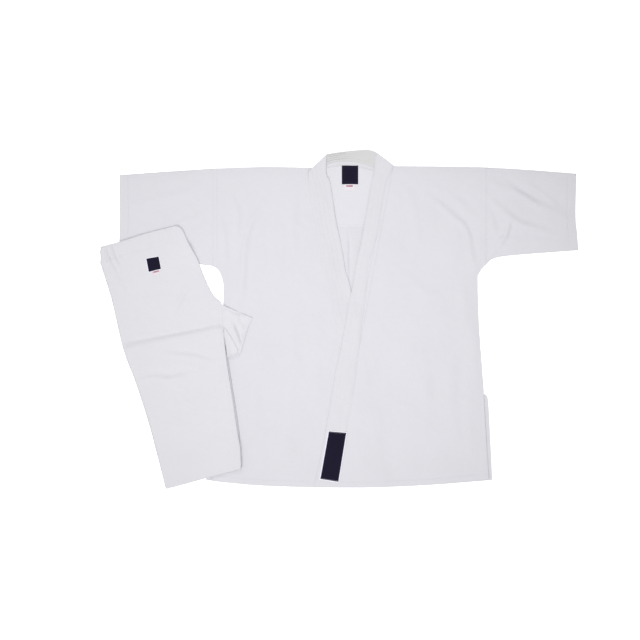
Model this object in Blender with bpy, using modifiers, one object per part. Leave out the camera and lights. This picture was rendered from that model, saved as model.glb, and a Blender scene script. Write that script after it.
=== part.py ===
"""Martial arts uniform laid out flat: a short-sleeved wrap jacket beside and under
its trousers, which are folded in half lengthwise with the lower legs turned under.

Frame: the uniform lies on z = 0, +Z up, +Y towards the collar, +X towards the
wearer's left sleeve. Left and right in the names are the wearer's. Each cloth
layer is a thin sheet at its own height, with a real space left between the back
and the fronts where the body and the arms go.
"""
import bpy
import bmesh
from math import atan2, cos, sin, hypot
from mathutils import Matrix, Vector

MM = 0.001

# ---------------------------------------------------------------- cloth stack
CLOTH = 1.2            # jacket cloth with its seams, mm
GAP = 0.3              # rest gap between touching pieces
BACK_Z = 0.0           # back panels lie on the table
YOKE_Z = 1.5           # lining inside the shoulders
YOKE_T = 1.0
BODY_SPACE = 5.0       # height kept free between back and front
FRONT_Z = BACK_Z + CLOTH + BODY_SPACE          # 6.2, under front and side panel
UNDER_BAND_Z, UNDER_BAND_T = 6.0, 1.8
FLAP_Z = 8.1           # over front, clear of the under lapel
OVER_BAND_T = 2.0
PATCH_Z, PATCH_T = 10.4, 0.6
COLLAR_Z, COLLAR_T = 2.8, 1.8
LABEL_Z, LABEL_T = 4.9, 0.5

# ---------------------------------------------------------------- jacket plan
CENTRE_X = 20.0        # centre back seam
SEAM_L_X = 346.0       # left sleeve seam
SEAM_R_X = -299.0      # right sleeve seam
CUFF_L_X = 563.0
SHOULDER_Y = 360.0
HEM_Y = -396.0
ARMPIT_Y = 95.0
VENT_Y = -175.0        # top of the side vents
YOKE_Y = 219.0         # lower edge of the shoulder lining
COLLAR_TOP_Y = 399.0
FOLD_HEM = (133.0, -394.0)     # line the over front turns back about, at the hem
FOLD_NECK = (86.0, 392.0)      # and at the side of the neck

# ---------------------------------------------------------------- trousers plan
LEG_T = 1.0            # one trouser layer
LEG_PITCH = 1.4        # layer to layer
LEG_STACK = 3 * LEG_PITCH + LEG_T              # 5.2, two legs of two layers
OVER_JACKET = 7.7      # height of the trousers where they lie on the jacket
WAIST_A = (-560.5, 171.6)      # waist corner at the outseam
WAIST_B = (-388.7, 220.0)      # waist corner at the front
WAIST_BAND = 36.0
FOLD_A = (-409.7, -399.0)      # bottom fold, outseam corner
FOLD_B = (-229.9, -350.9)      # bottom fold, inseam corner
HEM_A = (-504.0, -68.0)        # hem of the turned-under legs, outseam corner
HEM_B = (-279.7, -18.5)        # and inseam corner


def principled(name, rgb, rough):
    mat = bpy.data.materials.new(name)
    mat.use_nodes = True
    bsdf = mat.node_tree.nodes["Principled BSDF"]
    bsdf.inputs["Base Color"].default_value = (*rgb, 1.0)
    bsdf.inputs["Roughness"].default_value = rough
    bsdf.inputs["Metallic"].default_value = 0.0
    mat.diffuse_color = (*rgb, 1.0)
    return mat


def clear_scene():
    for ob in list(bpy.data.objects):
        bpy.data.objects.remove(ob, do_unlink=True)


def gather(name):
    col = bpy.data.collections.new(name)
    bpy.context.scene.collection.children.link(col)
    return col


def flat_outline(points):
    """Triangulated flat face of a closed outline given in mm."""
    curve = bpy.data.curves.new("outline", "CURVE")
    curve.dimensions = "2D"
    curve.fill_mode = "BOTH"
    spline = curve.splines.new("POLY")
    spline.points.add(len(points) - 1)
    for point, (x, y) in zip(spline.points, points):
        point.co = (x * MM, y * MM, 0.0, 1.0)
    spline.use_cyclic_u = True
    ob = bpy.data.objects.new("outline", curve)
    bpy.context.scene.collection.objects.link(ob)
    bpy.context.view_layer.update()
    dg = bpy.context.evaluated_depsgraph_get()
    mesh = bpy.data.meshes.new_from_object(ob.evaluated_get(dg))
    bpy.data.objects.remove(ob, do_unlink=True)
    bpy.data.curves.remove(curve)
    bm = bmesh.new()
    bm.from_mesh(mesh)
    bpy.data.meshes.remove(mesh)
    bmesh.ops.remove_doubles(bm, verts=bm.verts, dist=1e-5)
    for face in bm.faces:
        if face.normal.z < 0:
            face.normal_flip()
    return bm


def sheet(col, name, points, z, thick, mat, origin=(0, 0, 0), bends=(), height=None):
    """A cloth layer: an outline, bent along straight lines, given its thickness."""
    bm = flat_outline(points)
    for (px, py), (nx, ny) in bends:
        bmesh.ops.bisect_plane(
            bm, geom=bm.verts[:] + bm.edges[:] + bm.faces[:], dist=1e-6,
            plane_co=(px * MM, py * MM, 0), plane_no=(nx, ny, 0))
    if bends:
        bmesh.ops.triangulate(bm, faces=bm.faces)
    for v in bm.verts:
        lift = height(v.co.x / MM, v.co.y / MM) if height else 0.0
        v.co.z = (z + lift) * MM
        v.co -= Vector(origin) * MM
    mesh = bpy.data.meshes.new(name)
    bm.to_mesh(mesh)
    bm.free()
    ob = bpy.data.objects.new(name, mesh)
    ob.location = Vector(origin) * MM
    mod = ob.modifiers.new("thickness", "SOLIDIFY")
    mod.thickness = thick * MM
    mod.offset = 1.0
    mod.use_even_offset = True
    mesh.materials.append(mat)
    col.objects.link(ob)
    return ob


def strip(points, width):
    """Outline of a narrow strip laid along a line of points, on its left side."""
    side = []
    for i, (x, y) in enumerate(points):
        a = points[max(i - 1, 0)]
        b = points[min(i + 1, len(points) - 1)]
        dx, dy = b[0] - a[0], b[1] - a[1]
        n = hypot(dx, dy)
        side.append((x - dy / n * width, y + dx / n * width))
    return list(points) + side[::-1]


def bar(col, name, length, width, thick, centre, angle, mat, slot=None):
    """A straight band on its long axis, with an optional slot right through."""
    bpy.ops.mesh.primitive_cube_add(size=1.0)
    ob = bpy.context.active_object
    ob.name = name
    ob.data.name = name
    ob.data.transform(Matrix.Diagonal((length * MM, width * MM, thick * MM, 1.0)))
    ob.location = Vector(centre) * MM
    ob.rotation_euler = (0.0, 0.0, angle)
    ob.data.materials.append(mat)
    for c in list(ob.users_collection):
        c.objects.unlink(ob)
    col.objects.link(ob)
    if slot:
        bpy.ops.mesh.primitive_cube_add(size=1.0)
        cut = bpy.context.active_object
        cut.name = name + "_slot"
        cut.data.transform(Matrix.Diagonal(
            ((length + 8) * MM, slot[0] * MM, slot[1] * MM, 1.0)))
        cut.location = ob.location
        cut.rotation_euler = ob.rotation_euler
        cut.hide_render = True
        cut.display_type = "WIRE"
        for c in list(cut.users_collection):
            c.objects.unlink(cut)
        cutters.objects.link(cut)
        mod = ob.modifiers.new("casing", "BOOLEAN")
        mod.operation = "DIFFERENCE"
        mod.solver = "EXACT"
        mod.object = cut
    return ob


clear_scene()
parts = gather("martial_arts_uniform")
cutters = gather("cutters")

COTTON = principled("cotton", (0.78, 0.77, 0.81), 0.9)
COLLAR = principled("collar_cotton", (0.76, 0.75, 0.79), 0.9)
LINING = principled("lining", (0.74, 0.73, 0.77), 0.9)
NAVY = principled("label_navy", (0.016, 0.013, 0.031), 0.75)
SATIN = principled("size_label", (0.80, 0.78, 0.80), 0.6)
ELASTIC = principled("elastic", (0.72, 0.72, 0.72), 0.8)

# ---------------------------------------------------------------- jacket back
G = GAP / 2
sheet(parts, "back_panel_left", [
    (CENTRE_X + G, 338), (127, SHOULDER_Y), (SEAM_L_X - G, 358.5), (SEAM_L_X - G, 130),
    (338.5, 124), (328, 108), (325, ARMPIT_Y), (327, 9), (332, -70), (340, VENT_Y),
    (350.5, -190), (360.4, -378.5), (209, -390), (68, HEM_Y), (CENTRE_X + G, HEM_Y)],
    BACK_Z, CLOTH, COTTON)
sheet(parts, "back_panel_right", [
    (CENTRE_X - G, 338), (CENTRE_X - G, HEM_Y), (-61, -395.5), (-182, -391.5),
    (-268, -384), (-315, -378.5), (-303, -190), (-284.5, VENT_Y), (-277, -70),
    (-273, 40), (-273, 79), (-277, 101), (-286, 118), (SEAM_R_X + G, 126.5),
    (SEAM_R_X + G, 355.5), (-174, SHOULDER_Y - 0.5), (-62.5, 357.5), (-30, 340)],
    BACK_Z, CLOTH, COTTON)
sheet(parts, "back_yoke_lining", [
    (-30, 337.5), (-62, 354.5), (-174, 356.5), (-295, 352.5), (-295, YOKE_Y),
    (342, YOKE_Y), (342, 355.5), (127, 356.5), (80, 337.5)],
    YOKE_Z, YOKE_T, LINING)

# ---------------------------------------------------------------- collar and labels
sheet(parts, "back_neck_collar", [
    (-30.5, 387.5), (-31, 344), (-27, 338.5), (77, 338.5), (80.5, 344), (85.5, 393.5),
    (76, 398), (50, COLLAR_TOP_Y), (10, 394.5)],
    COLLAR_Z, COLLAR_T, COLLAR)
sheet(parts, "neck_label", [(6, 319.5), (43.5, 319.5), (43.5, 362.5), (6, 362.5)],
      LABEL_Z, LABEL_T, NAVY)
sheet(parts, "neck_size_label", [(10, 303.5), (37.5, 303.5), (37.5, 319), (10, 319)],
      LABEL_Z, LABEL_T, SATIN)

# ---------------------------------------------------------------- fronts on the root
# The under front ends where its lapel band begins.
UNDER_EDGE = [(27.5, 65), (14.5, 115), (5, 171), (-6, 219), (-13, 260), (-22.5, 322),
              (-31.5, 344)]
UNDER_SEAM = [(-22, 65), (-37, 115), (-47, 171), (-57, 219), (-64, 260), (-73, 322),
              (-72, 349)]
sheet(parts, "right_front_panel", [
    (-72.5, 357.5), (-72.5, 349), (-73.3, 322), (-64.3, 260), (-57.3, 219),
    (-47.3, 171), (-37.3, 115), (-22.3, 65), (58, -395.5), (-61, -395.5),
    (-182, -391.5), (-268, -384), (-298.5, -379), (-284.5, VENT_Y), (-277, -70),
    (-273, 40), (-273, 79), (-277, 101), (-286, 118), (SEAM_R_X + G, 126.5),
    (SEAM_R_X + G, 355.5), (-174, SHOULDER_Y - 0.5)],
    FRONT_Z, CLOTH, COTTON)
sheet(parts, "right_lapel_band", [
    (110, -395), (58.4, -395), (-22, 65)] + UNDER_SEAM[1:] +
    [(-72, 357.5), (-62.5, 357.5), (-31.5, 386)] + UNDER_EDGE[::-1],
    UNDER_BAND_Z, UNDER_BAND_T, COLLAR)
# The over front: its lapel band crosses the fold line between the chest and the neck.
OVER_EDGE = [(85.8, 386), (81, 344), (75, 320), (65, 260), (58, 219), (48.5, 171),
             (36.5, 118), (31.5, 86), (26.5, 62.5), (25.5, 55), (6, -53), (-13.5, -147),
             (-29, -242), (-46, -334), (-58, -386), (-60.5, -395.5)]
OVER_SEAM = [(-6.5, -395), (-3.5, -381), (17.5, -249), (27, -199), (36.5, -147),
             (48.5, -39), (60, 46), (68.5, 133), (92, 212)]
OVER_SEAM_TOP = [(100.5, 282), (113, 330), (127, 361.5)]
CROSS = (95.2, 238.0)          # where the band's seam meets the fold line


def beside_fold(y, off):
    t = (y - FOLD_HEM[1]) / (FOLD_NECK[1] - FOLD_HEM[1])
    return (FOLD_HEM[0] + t * (FOLD_NECK[0] - FOLD_HEM[0]) + off, y)


sheet(parts, "left_front_side_panel", [
    (CROSS[0] + 2 * G, CROSS[1])] + [(x + 0.3, y) for x, y in OVER_SEAM_TOP] + [
    (SEAM_L_X - G, 358.5), (SEAM_L_X - G, 130), (338.5, 124),
    (328, 108), (325, ARMPIT_Y), (327, 9), (332, -70), (339.5, VENT_Y), (342, -220),
    (352, -376.5), (209, -390), beside_fold(-393.5, G)],
    FRONT_Z, CLOTH, COTTON)
sheet(parts, "left_lapel_band_upper", [
    (86.5, 393.5), (127, 363)] + OVER_SEAM_TOP[::-1] + [beside_fold(CROSS[1] + 3, G + 0.1),
    beside_fold(388, G + 0.1)],
    FLAP_Z, OVER_BAND_T, COLLAR)

# Cloth turning over the shoulders, and the felled side seams below the armpits.
INNER_T = FRONT_Z - CLOTH - 2 * GAP
sheet(parts, "left_shoulder_fold", strip([(SEAM_L_X - 1, 355.5), (131, 358.5)], -2.5),
      CLOTH + GAP, INNER_T, COTTON)
sheet(parts, "right_shoulder_fold", strip([(-75, 356), (-174, 357.2), (SEAM_R_X + 1, 352.8)], -2.5),
      CLOTH + GAP, INNER_T, COTTON)
sheet(parts, "left_side_seam", strip(
    [(325.5, 92), (324.5, 60), (326.5, 9), (331.5, -70), (338.5, VENT_Y)], -4.0),
    CLOTH + GAP, INNER_T, COTTON)
sheet(parts, "right_side_seam", strip(
    [(-272.5, 79), (-272.5, 40), (-276.5, -70), (-284, VENT_Y)], 4.0),
    CLOTH + GAP, INNER_T, COTTON)

# ---------------------------------------------------------------- over front flap
FLAP_AXIS = (*FOLD_HEM, 10.8)
sheet(parts, "left_lapel_band",
      OVER_EDGE + OVER_SEAM + [beside_fold(CROSS[1] - 2, -G), beside_fold(384, -G)],
      FLAP_Z, OVER_BAND_T, COLLAR, origin=FLAP_AXIS)
sheet(parts, "left_front_flap",
      [beside_fold(CROSS[1] - 6, -G)] + [(x + 0.3, y) for x, y in OVER_SEAM[::-1]] +
      [beside_fold(-393.5, -G)],
      FLAP_Z, CLOTH, COTTON, origin=FLAP_AXIS)
sheet(parts, "hem_patch", [(-24.5, -264.5), (15.5, -267.5), (-3, -382), (-45, -375)],
      PATCH_Z, PATCH_T, NAVY, origin=FLAP_AXIS)

# ---------------------------------------------------------------- sleeves
# Each sleeve turns behind the body about its seam, on an axis under the cloth.
AXIS_L = (SEAM_L_X, 245.0, -0.5)
AXIS_R = (SEAM_R_X, 245.0, -0.5)
LEFT_SLEEVE = [(SEAM_L_X + G, 358.5), (SEAM_L_X + G, 130.5), (362, 143.5), (405, 151.5),
               (CUFF_L_X, 164), (559.5, 205), (556, 248), (558, 343.5)]
RIGHT_SLEEVE = [(SEAM_R_X - G, 355), (-519, 340), (-518, 250), (-519.5, 166), (-400, 154),
                (-362, 151), (-331, 132), (SEAM_R_X - G, 127)]
for side, plan, axis in (("left", LEFT_SLEEVE, AXIS_L), ("right", RIGHT_SLEEVE, AXIS_R)):
    sheet(parts, side + "_sleeve_back", plan, BACK_Z, CLOTH, COTTON, origin=axis)
    sheet(parts, side + "_sleeve_front", plan, FRONT_Z, CLOTH, COTTON, origin=axis)
sheet(parts, "left_sleeve_top_fold", strip([(556, 340), (SEAM_L_X + 1.5, 355)], -2.5),
      CLOTH + GAP, INNER_T, COTTON, origin=AXIS_L)
sheet(parts, "left_underarm_seam", strip(
    [(561, 167.5), (405, 155), (362, 147), (SEAM_L_X + 2, 134)], 3.5),
    CLOTH + GAP, INNER_T, COTTON, origin=AXIS_L)
sheet(parts, "right_sleeve_top_fold", strip([(SEAM_R_X - 1.5, 351.5), (-517, 336.8)], -2.5),
      CLOTH + GAP, INNER_T, COTTON, origin=AXIS_R)
sheet(parts, "right_underarm_seam", strip(
    [(SEAM_R_X - 2, 130.5), (-331, 135.5), (-362, 154.5), (-400, 157.5), (-517, 169.5)], 3.5),
    CLOTH + GAP, INNER_T, COTTON, origin=AXIS_R)

# ---------------------------------------------------------------- trousers
# The stack lies on the floor, climbs onto the jacket along two straight bends, and
# climbs over the turned-under legs along a third one beside their hem.
CLIMB_X = (-365.0, -325.0)
CLIMB_Y = (60.0, 100.0)
CLIMB_HEM = 36.0
hx, hy = HEM_B[0] - HEM_A[0], HEM_B[1] - HEM_A[1]
hn = hypot(hx, hy)
HEM_N = (-hy / hn, hx / hn)            # towards the waist
HEM_REF = (HEM_A[0] + HEM_N[0] * 2, HEM_A[1] + HEM_N[1] * 2)


def ramp(value, low, high):
    return min(max((value - low) / (high - low), 0.0), 1.0)


def on_jacket(x, y):
    return OVER_JACKET * max(ramp(x, *CLIMB_X), ramp(y, *CLIMB_Y))


def on_legs(x, y):
    beyond = (x - HEM_REF[0]) * HEM_N[0] + (y - HEM_REF[1]) * HEM_N[1]
    return on_jacket(x, y) + (LEG_STACK + 0.4) * (1.0 - ramp(beyond, 0.0, CLIMB_HEM))


JACKET_BENDS = [((CLIMB_X[0], 0), (1, 0)), ((CLIMB_X[1], 0), (1, 0)),
                ((0, CLIMB_Y[0]), (0, 1)), ((0, CLIMB_Y[1]), (0, 1))]
HEM_BENDS = [(HEM_REF, HEM_N),
             ((HEM_REF[0] + HEM_N[0] * CLIMB_HEM, HEM_REF[1] + HEM_N[1] * CLIMB_HEM), HEM_N)]

wx, wy = WAIST_B[0] - WAIST_A[0], WAIST_B[1] - WAIST_A[1]
wn = hypot(wx, wy)
W_DIR = (wx / wn, wy / wn)
W_IN = (wy / wn, -wx / wn)             # from the waist edge towards the hems


def from_waist(along, inward):
    return (WAIST_A[0] + W_DIR[0] * along + W_IN[0] * inward,
            WAIST_A[1] + W_DIR[1] * along + W_IN[1] * inward)


UPPER_LEG = [
    (-563, 132.5), (-551, 98), (-534, 41), (-509, -66), (-478.5, -149),
    (-450, -237), FOLD_A, (-310.6, -373.5), FOLD_B, (-239, -271), (-251.5, -187),
    (-266.5, -94), (-273, -18), (-279, 39), (-298, 58), (-315, 89.5), (-331, 129.5),
    (-336.5, 144), (-359, 180), from_waist(wn + 4, WAIST_BAND + 0.3)]
for k, name in enumerate(("left_leg_front", "left_leg_back", "right_leg_back", "right_leg_front")):
    sheet(parts, name, UPPER_LEG, k * LEG_PITCH, LEG_T, COTTON,
          bends=JACKET_BENDS + HEM_BENDS, height=on_legs)

LOWER_LEG = [HEM_A, (-474, -148), (-446, -237), (FOLD_A[0] + 1.5, FOLD_A[1] + 3.5),
             (-310.6, -370.8), (FOLD_B[0] - 2, FOLD_B[1] + 2.2), (-240.5, -271), (-252.5, -187),
             (-265.5, -94), (-273.5, -50), HEM_B]
FOLD_Z = LEG_STACK + 0.2
FOLD_AXIS = (FOLD_A[0], FOLD_A[1], FOLD_Z)
for k, name in enumerate(("right_lower_leg_front", "right_lower_leg_back",
                          "left_lower_leg_back", "left_lower_leg_front")):
    sheet(parts, name, LOWER_LEG, k * LEG_PITCH, LEG_T, COTTON, origin=FOLD_AXIS,
          bends=JACKET_BENDS[:2], height=on_jacket)

sheet(parts, "crotch_gusset", [
    (-278.5, 38.5), (-264.3, 28.3), (-218.3, 9.4), (-205.3, 3.1), (-213.8, -13.9),
    (-222.1, -38.9), (-232.7, -76.7), (-237.2, -83.3), (-264, -89.7), (-266, -94), (-272.6, -18)],
    OVER_JACKET + LEG_STACK + 0.6, 2.4, COTTON)

# Waist casing in two halves, one over the other, with the elastic inside each.
w_angle = atan2(wy, wx)
wcx, wcy = from_waist(wn / 2 + 1, WAIST_BAND / 2)
for k, side in enumerate(("left", "right")):
    zc = OVER_JACKET + k * 2 * LEG_PITCH + (LEG_PITCH + LEG_T) / 2
    bar(parts, "waistband_%s_half" % side, wn + 2, WAIST_BAND - 0.3, LEG_PITCH + LEG_T,
        (wcx, wcy, zc), w_angle, COLLAR, slot=(30.0, 1.0))
    bar(parts, "waist_elastic_%s" % side, wn - 4, 29.0, 0.6, (wcx, wcy, zc), w_angle, ELASTIC)

TOP = OVER_JACKET + LEG_STACK + GAP
sheet(parts, "trousers_label", [(-455, 142.5), (-449, 113), (-421.5, 120), (-427, 147.5)],
      TOP, LABEL_T, NAVY)
sheet(parts, "trousers_size_label", [(-440.5, 114.5), (-426.5, 118), (-425, 108.5), (-439, 105)],
      TOP + LABEL_T + GAP, 0.4, SATIN)
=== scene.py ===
"""Looks for the laid-out martial arts uniform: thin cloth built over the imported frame.

Lengths inside the script are millimetres until a mesh is made. The cloth's heights
are worked out on one grid of the whole layout, where each layer is let down on what
lies under it, and every piece then reads its own height from that grid.
"""
import bpy
import math
import numpy as np
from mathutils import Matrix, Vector
from mathutils.geometry import delaunay_2d_cdt


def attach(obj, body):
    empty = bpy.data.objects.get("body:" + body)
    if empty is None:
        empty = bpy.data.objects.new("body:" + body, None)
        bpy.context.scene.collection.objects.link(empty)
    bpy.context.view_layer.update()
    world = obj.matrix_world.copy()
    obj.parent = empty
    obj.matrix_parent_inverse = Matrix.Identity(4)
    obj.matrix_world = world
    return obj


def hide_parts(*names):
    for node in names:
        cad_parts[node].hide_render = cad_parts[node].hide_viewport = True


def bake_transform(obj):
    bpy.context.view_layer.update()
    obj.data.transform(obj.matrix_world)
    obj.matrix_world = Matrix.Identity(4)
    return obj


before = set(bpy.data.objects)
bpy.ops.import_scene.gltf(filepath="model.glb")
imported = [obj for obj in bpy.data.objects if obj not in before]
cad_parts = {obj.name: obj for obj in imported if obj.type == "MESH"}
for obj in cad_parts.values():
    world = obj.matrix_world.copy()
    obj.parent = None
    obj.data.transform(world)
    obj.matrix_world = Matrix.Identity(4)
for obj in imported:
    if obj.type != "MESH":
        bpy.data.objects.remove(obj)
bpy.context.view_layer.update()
MM = 0.001

# ------------------------------------------------------------------ lines in the plan


def smooth_line(points, step):
    """Catmull-Rom through the points, then evenly spaced."""
    p = np.array(points, float)
    if len(p) > 2:
        q = np.vstack([2 * p[0] - p[1], p, 2 * p[-1] - p[-2]])
        out = []
        for i in range(1, len(q) - 2):
            t = np.linspace(0, 1, 12, endpoint=False)[:, None]
            a, b, c, d = q[i - 1], q[i], q[i + 1], q[i + 2]
            out.append(0.5 * ((2 * b) + (-a + c) * t + (2 * a - 5 * b + 4 * c - d) * t ** 2
                              + (-a + 3 * b - 3 * c + d) * t ** 3))
        p = np.vstack(out + [q[-2:-1]])
    return spaced(p, step)


def spaced(p, step):
    p = np.asarray(p, float)
    seg = np.hypot(*np.diff(p, axis=0)[:, :2].T) if p.shape[1] == 2 else np.linalg.norm(np.diff(p, axis=0), axis=1)
    s = np.concatenate([[0], np.cumsum(seg)])
    n = max(int(math.ceil(s[-1] / step)), 1)
    t = np.linspace(0, s[-1], n + 1)
    return np.stack([np.interp(t, s, p[:, k]) for k in range(p.shape[1])], 1)


def outline(sections, step):
    """Closed outline from sections that share their end points."""
    return np.vstack([smooth_line(s, step)[:-1] for s in sections])


def inside(poly, x, y):
    o = np.argsort(y.ravel(), kind="stable")
    xs, ys = x.ravel()[o], y.ravel()[o]
    hit = np.zeros(len(xs), bool)
    px, py = poly[:, 0], poly[:, 1]
    qx, qy = np.roll(px, -1), np.roll(py, -1)
    for a, b, c, d in zip(px, py, qx, qy):
        if b == d:
            continue
        i, j = np.searchsorted(ys, (min(b, d), max(b, d)))
        hit[i:j] ^= xs[i:j] < (c - a) * (ys[i:j] - b) / (d - b) + a
    out = np.empty(len(xs), bool)
    out[o] = hit
    return out.reshape(x.shape)


def near(line, x, y, closed=False):
    """Distance, signed side (left is positive) and place along a line, for each point."""
    p = np.asarray(line, float)
    if closed:
        p = np.vstack([p, p[:1]])
    best = np.full(x.shape, 1e18)
    side = np.zeros(x.shape)
    along = np.zeros(x.shape)
    s = 0.0
    for (ax, ay), (bx, by) in zip(p[:-1], p[1:]):
        dx, dy = bx - ax, by - ay
        n = math.hypot(dx, dy)
        if n < 1e-9:
            continue
        t = np.clip(((x - ax) * dx + (y - ay) * dy) / (n * n), 0, 1)
        ex, ey = x - ax - t * dx, y - ay - t * dy
        d = ex * ex + ey * ey
        m = d < best
        best = np.where(m, d, best)
        side = np.where(m, np.sign(dx * ey - dy * ex), side)
        along = np.where(m, s + t * n, along)
        s += n
    return np.sqrt(best), side, along, s


def dist(lines, x, y):
    out = np.full(x.shape, 1e9)
    for l in lines:
        out = np.minimum(out, near(l, x, y)[0])
    return out


def sm(t):
    t = np.clip(t, 0, 1)
    return t * t * (3 - 2 * t)


def waves(x, y, short, long, n, seed, stretch=1.0, turn=0.0):
    """Soft random relief of about unit height, from plane waves."""
    r = np.random.default_rng(seed)
    c, s = math.cos(turn), math.sin(turn)
    u, v = (c * x + s * y) / stretch, -s * x + c * y
    z = np.zeros(np.shape(x))
    for _ in range(n):
        wl = math.exp(r.uniform(math.log(short), math.log(long)))
        a = r.uniform(0, math.pi)
        ph = r.uniform(0, 2 * math.pi)
        z = z + np.sin(2 * math.pi / wl * (u * math.cos(a) + v * math.sin(a)) + ph)
    return z / math.sqrt(n / 2)


# ------------------------------------------------------------------ the uniform's plan, mm
SEAM_L, SEAM_R = 346.0, -299.0
JOIN_R = [(-62, 357.5), (-174, 359.5), (SEAM_R, 355.5), (-519, 340)]
UNDER_R = [(-519.5, 166), (-400, 154), (-362, 151), (-331, 132), (SEAM_R, 126.5), (-286, 118),
           (-277, 101), (-273, 79), (-273, 40), (-277, -70), (-284.5, -175)]
JOIN_L = [(127, 361.5), (SEAM_L, 358.5), (558, 343.5)]
UNDER_L = [(563, 164), (405, 151.5), (362, 143.5), (SEAM_L, 130), (338.5, 124), (328, 108),
           (325, 95), (327, 9), (332, -70), (340, -175)]
CUFF_R = [(-519, 340), (-518, 250), (-519.5, 166)]
CUFF_L = [(563, 164), (559.5, 205), (556, 248), (558, 343.5)]
HEM = [(-298.5, -379), (-268, -384), (-182, -391.5), (-61, -395.5), (68, -396), (209, -390), (352, -376.5)]
VENT_R = [(-284.5, -175), (-290, -240), (-298.5, -379)]
VENT_L = [(340, -175), (342.5, -230), (352, -376.5)]
V_UNDER = [(26.9, 65), (13.8, 115), (5, 171), (-6, 219), (-13, 260), (-22.5, 322), (-31, 344), (-30.5, 388)]
UNDER_SEAM = [(58, -395.5), (-22, 65), (-37, 115), (-47, 171), (-57, 219), (-64, 260), (-73, 322), (-70, 357.5)]
V_OVER = [(86.5, 393.5), (81, 344), (75, 320), (65, 260), (58, 219), (48.8, 171), (37.4, 118),
          (32.4, 86), (27.4, 62.5), (22.2, 40), (6, -53), (-13.5, -147), (-29, -242), (-46, -334), (-60.5, -396)]
OVER_SEAM = [(-6.5, -396), (-3.5, -381), (17.5, -249), (27, -199), (36.5, -147), (48.5, -39), (60, 46),
             (68.5, 133), (92, 212), (100.5, 282), (113, 330), (127, 362)]
FOLD_HEM, FOLD_NECK = np.array((133.0, -394.0)), np.array((86.0, 392.0))

WAIST_A, WAIST_B = np.array((-560.5, 171.6)), np.array((-388.7, 220.0))
FOLD_A, FOLD_B = np.array((-409.7, -399.0)), np.array((-229.9, -350.9))
FOLD_LEN = float(np.hypot(*(FOLD_B - FOLD_A)))
FU = (FOLD_B - FOLD_A) / FOLD_LEN              # along the bottom fold
FV = np.array((-FU[1], FU[0]))                 # up the legs
W_LEN = float(np.hypot(*(WAIST_B - WAIST_A)))
WU = (WAIST_B - WAIST_A) / W_LEN
WV = np.array((WU[1], -WU[0]))                 # down from the waist
RISE, AXIS_Z, INSET = 7.7, 5.4, 4.5

# ------------------------------------------------------------------ heights on one grid
STEP = 2.5
gx = np.arange(-610, 612, STEP)
gy = np.arange(-440, 442, STEP)
GX, GY = np.meshgrid(gx, gy)


def read(grid, x, y):
    """Bilinear height at points."""
    fx = np.clip((x - gx[0]) / STEP, 0, len(gx) - 1.001)
    fy = np.clip((y - gy[0]) / STEP, 0, len(gy) - 1.001)
    i, j = fx.astype(int), fy.astype(int)
    u, v = fx - i, fy - j
    return ((grid[j, i] * (1 - u) + grid[j, i + 1] * u) * (1 - v)
            + (grid[j + 1, i] * (1 - u) + grid[j + 1, i + 1] * u) * v)


def blur(z, n):
    for _ in range(n):
        z = z.copy()
        z[1:-1, 1:-1] = 0.25 * z[1:-1, 1:-1] + 0.1875 * (
            z[1:-1, 2:] + z[1:-1, :-2] + z[2:, 1:-1] + z[:-2, 1:-1])
    return z


def settle(floor, fall, n, soft=4):
    """A sheet let down on what is under it: it hangs between high places."""
    half = floor[::2, ::2]
    z = np.maximum(blur(half, 4), half)
    for step, low, times in ((2 * STEP, half, n // 4), (STEP, floor, 24)):
        drop = fall * step * step / 4
        if z.shape != low.shape:
            wide = np.stack([np.interp(gx, gx[::2], r) for r in z])
            z = np.maximum(np.stack([np.interp(gy, gy[::2], wide[:, k]) for k in range(len(gx))], 1), low)
        for k in range(times):
            m = 0.25 * (z[1:-1, 2:] + z[1:-1, :-2] + z[2:, 1:-1] + z[:-2, 1:-1]) - drop
            z[1:-1, 1:-1] = np.maximum(m, low[1:-1, 1:-1])
    return np.maximum(blur(z, soft), floor)


def crease(x, y, line, height, width, lean=0.45):
    """A soft fold along a line: a ridge with a shallow valley on its left."""
    p = smooth_line(line, 7)
    lo, hi = p.min(0) - 5 * width, p.max(0) + 5 * width
    m = (x > lo[0]) & (x < hi[0]) & (y > lo[1]) & (y < hi[1])
    out = np.zeros(np.shape(x))
    d, side, s, total = near(p, x[m], y[m])
    t = s / total
    sd = d * side
    taper = np.sin(np.pi * np.clip(t, 0.02, 0.98)) ** 0.7
    out[m] = height * taper * (np.exp(-(sd / width) ** 2) - lean * np.exp(-((sd - 1.7 * width) / (1.2 * width)) ** 2))
    return out


def far_field(lines):
    """Distance to the lines over the whole grid, worked out on every fourth point."""
    cx, cy = gx[::4], gy[::4]
    X, Y = np.meshgrid(cx, cy)
    c = dist(lines, X, Y)
    rows = np.stack([np.interp(gx, cx, r) for r in c])
    return np.stack([np.interp(gy, cy, rows[:, k]) for k in range(len(gx))], 1)


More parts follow.
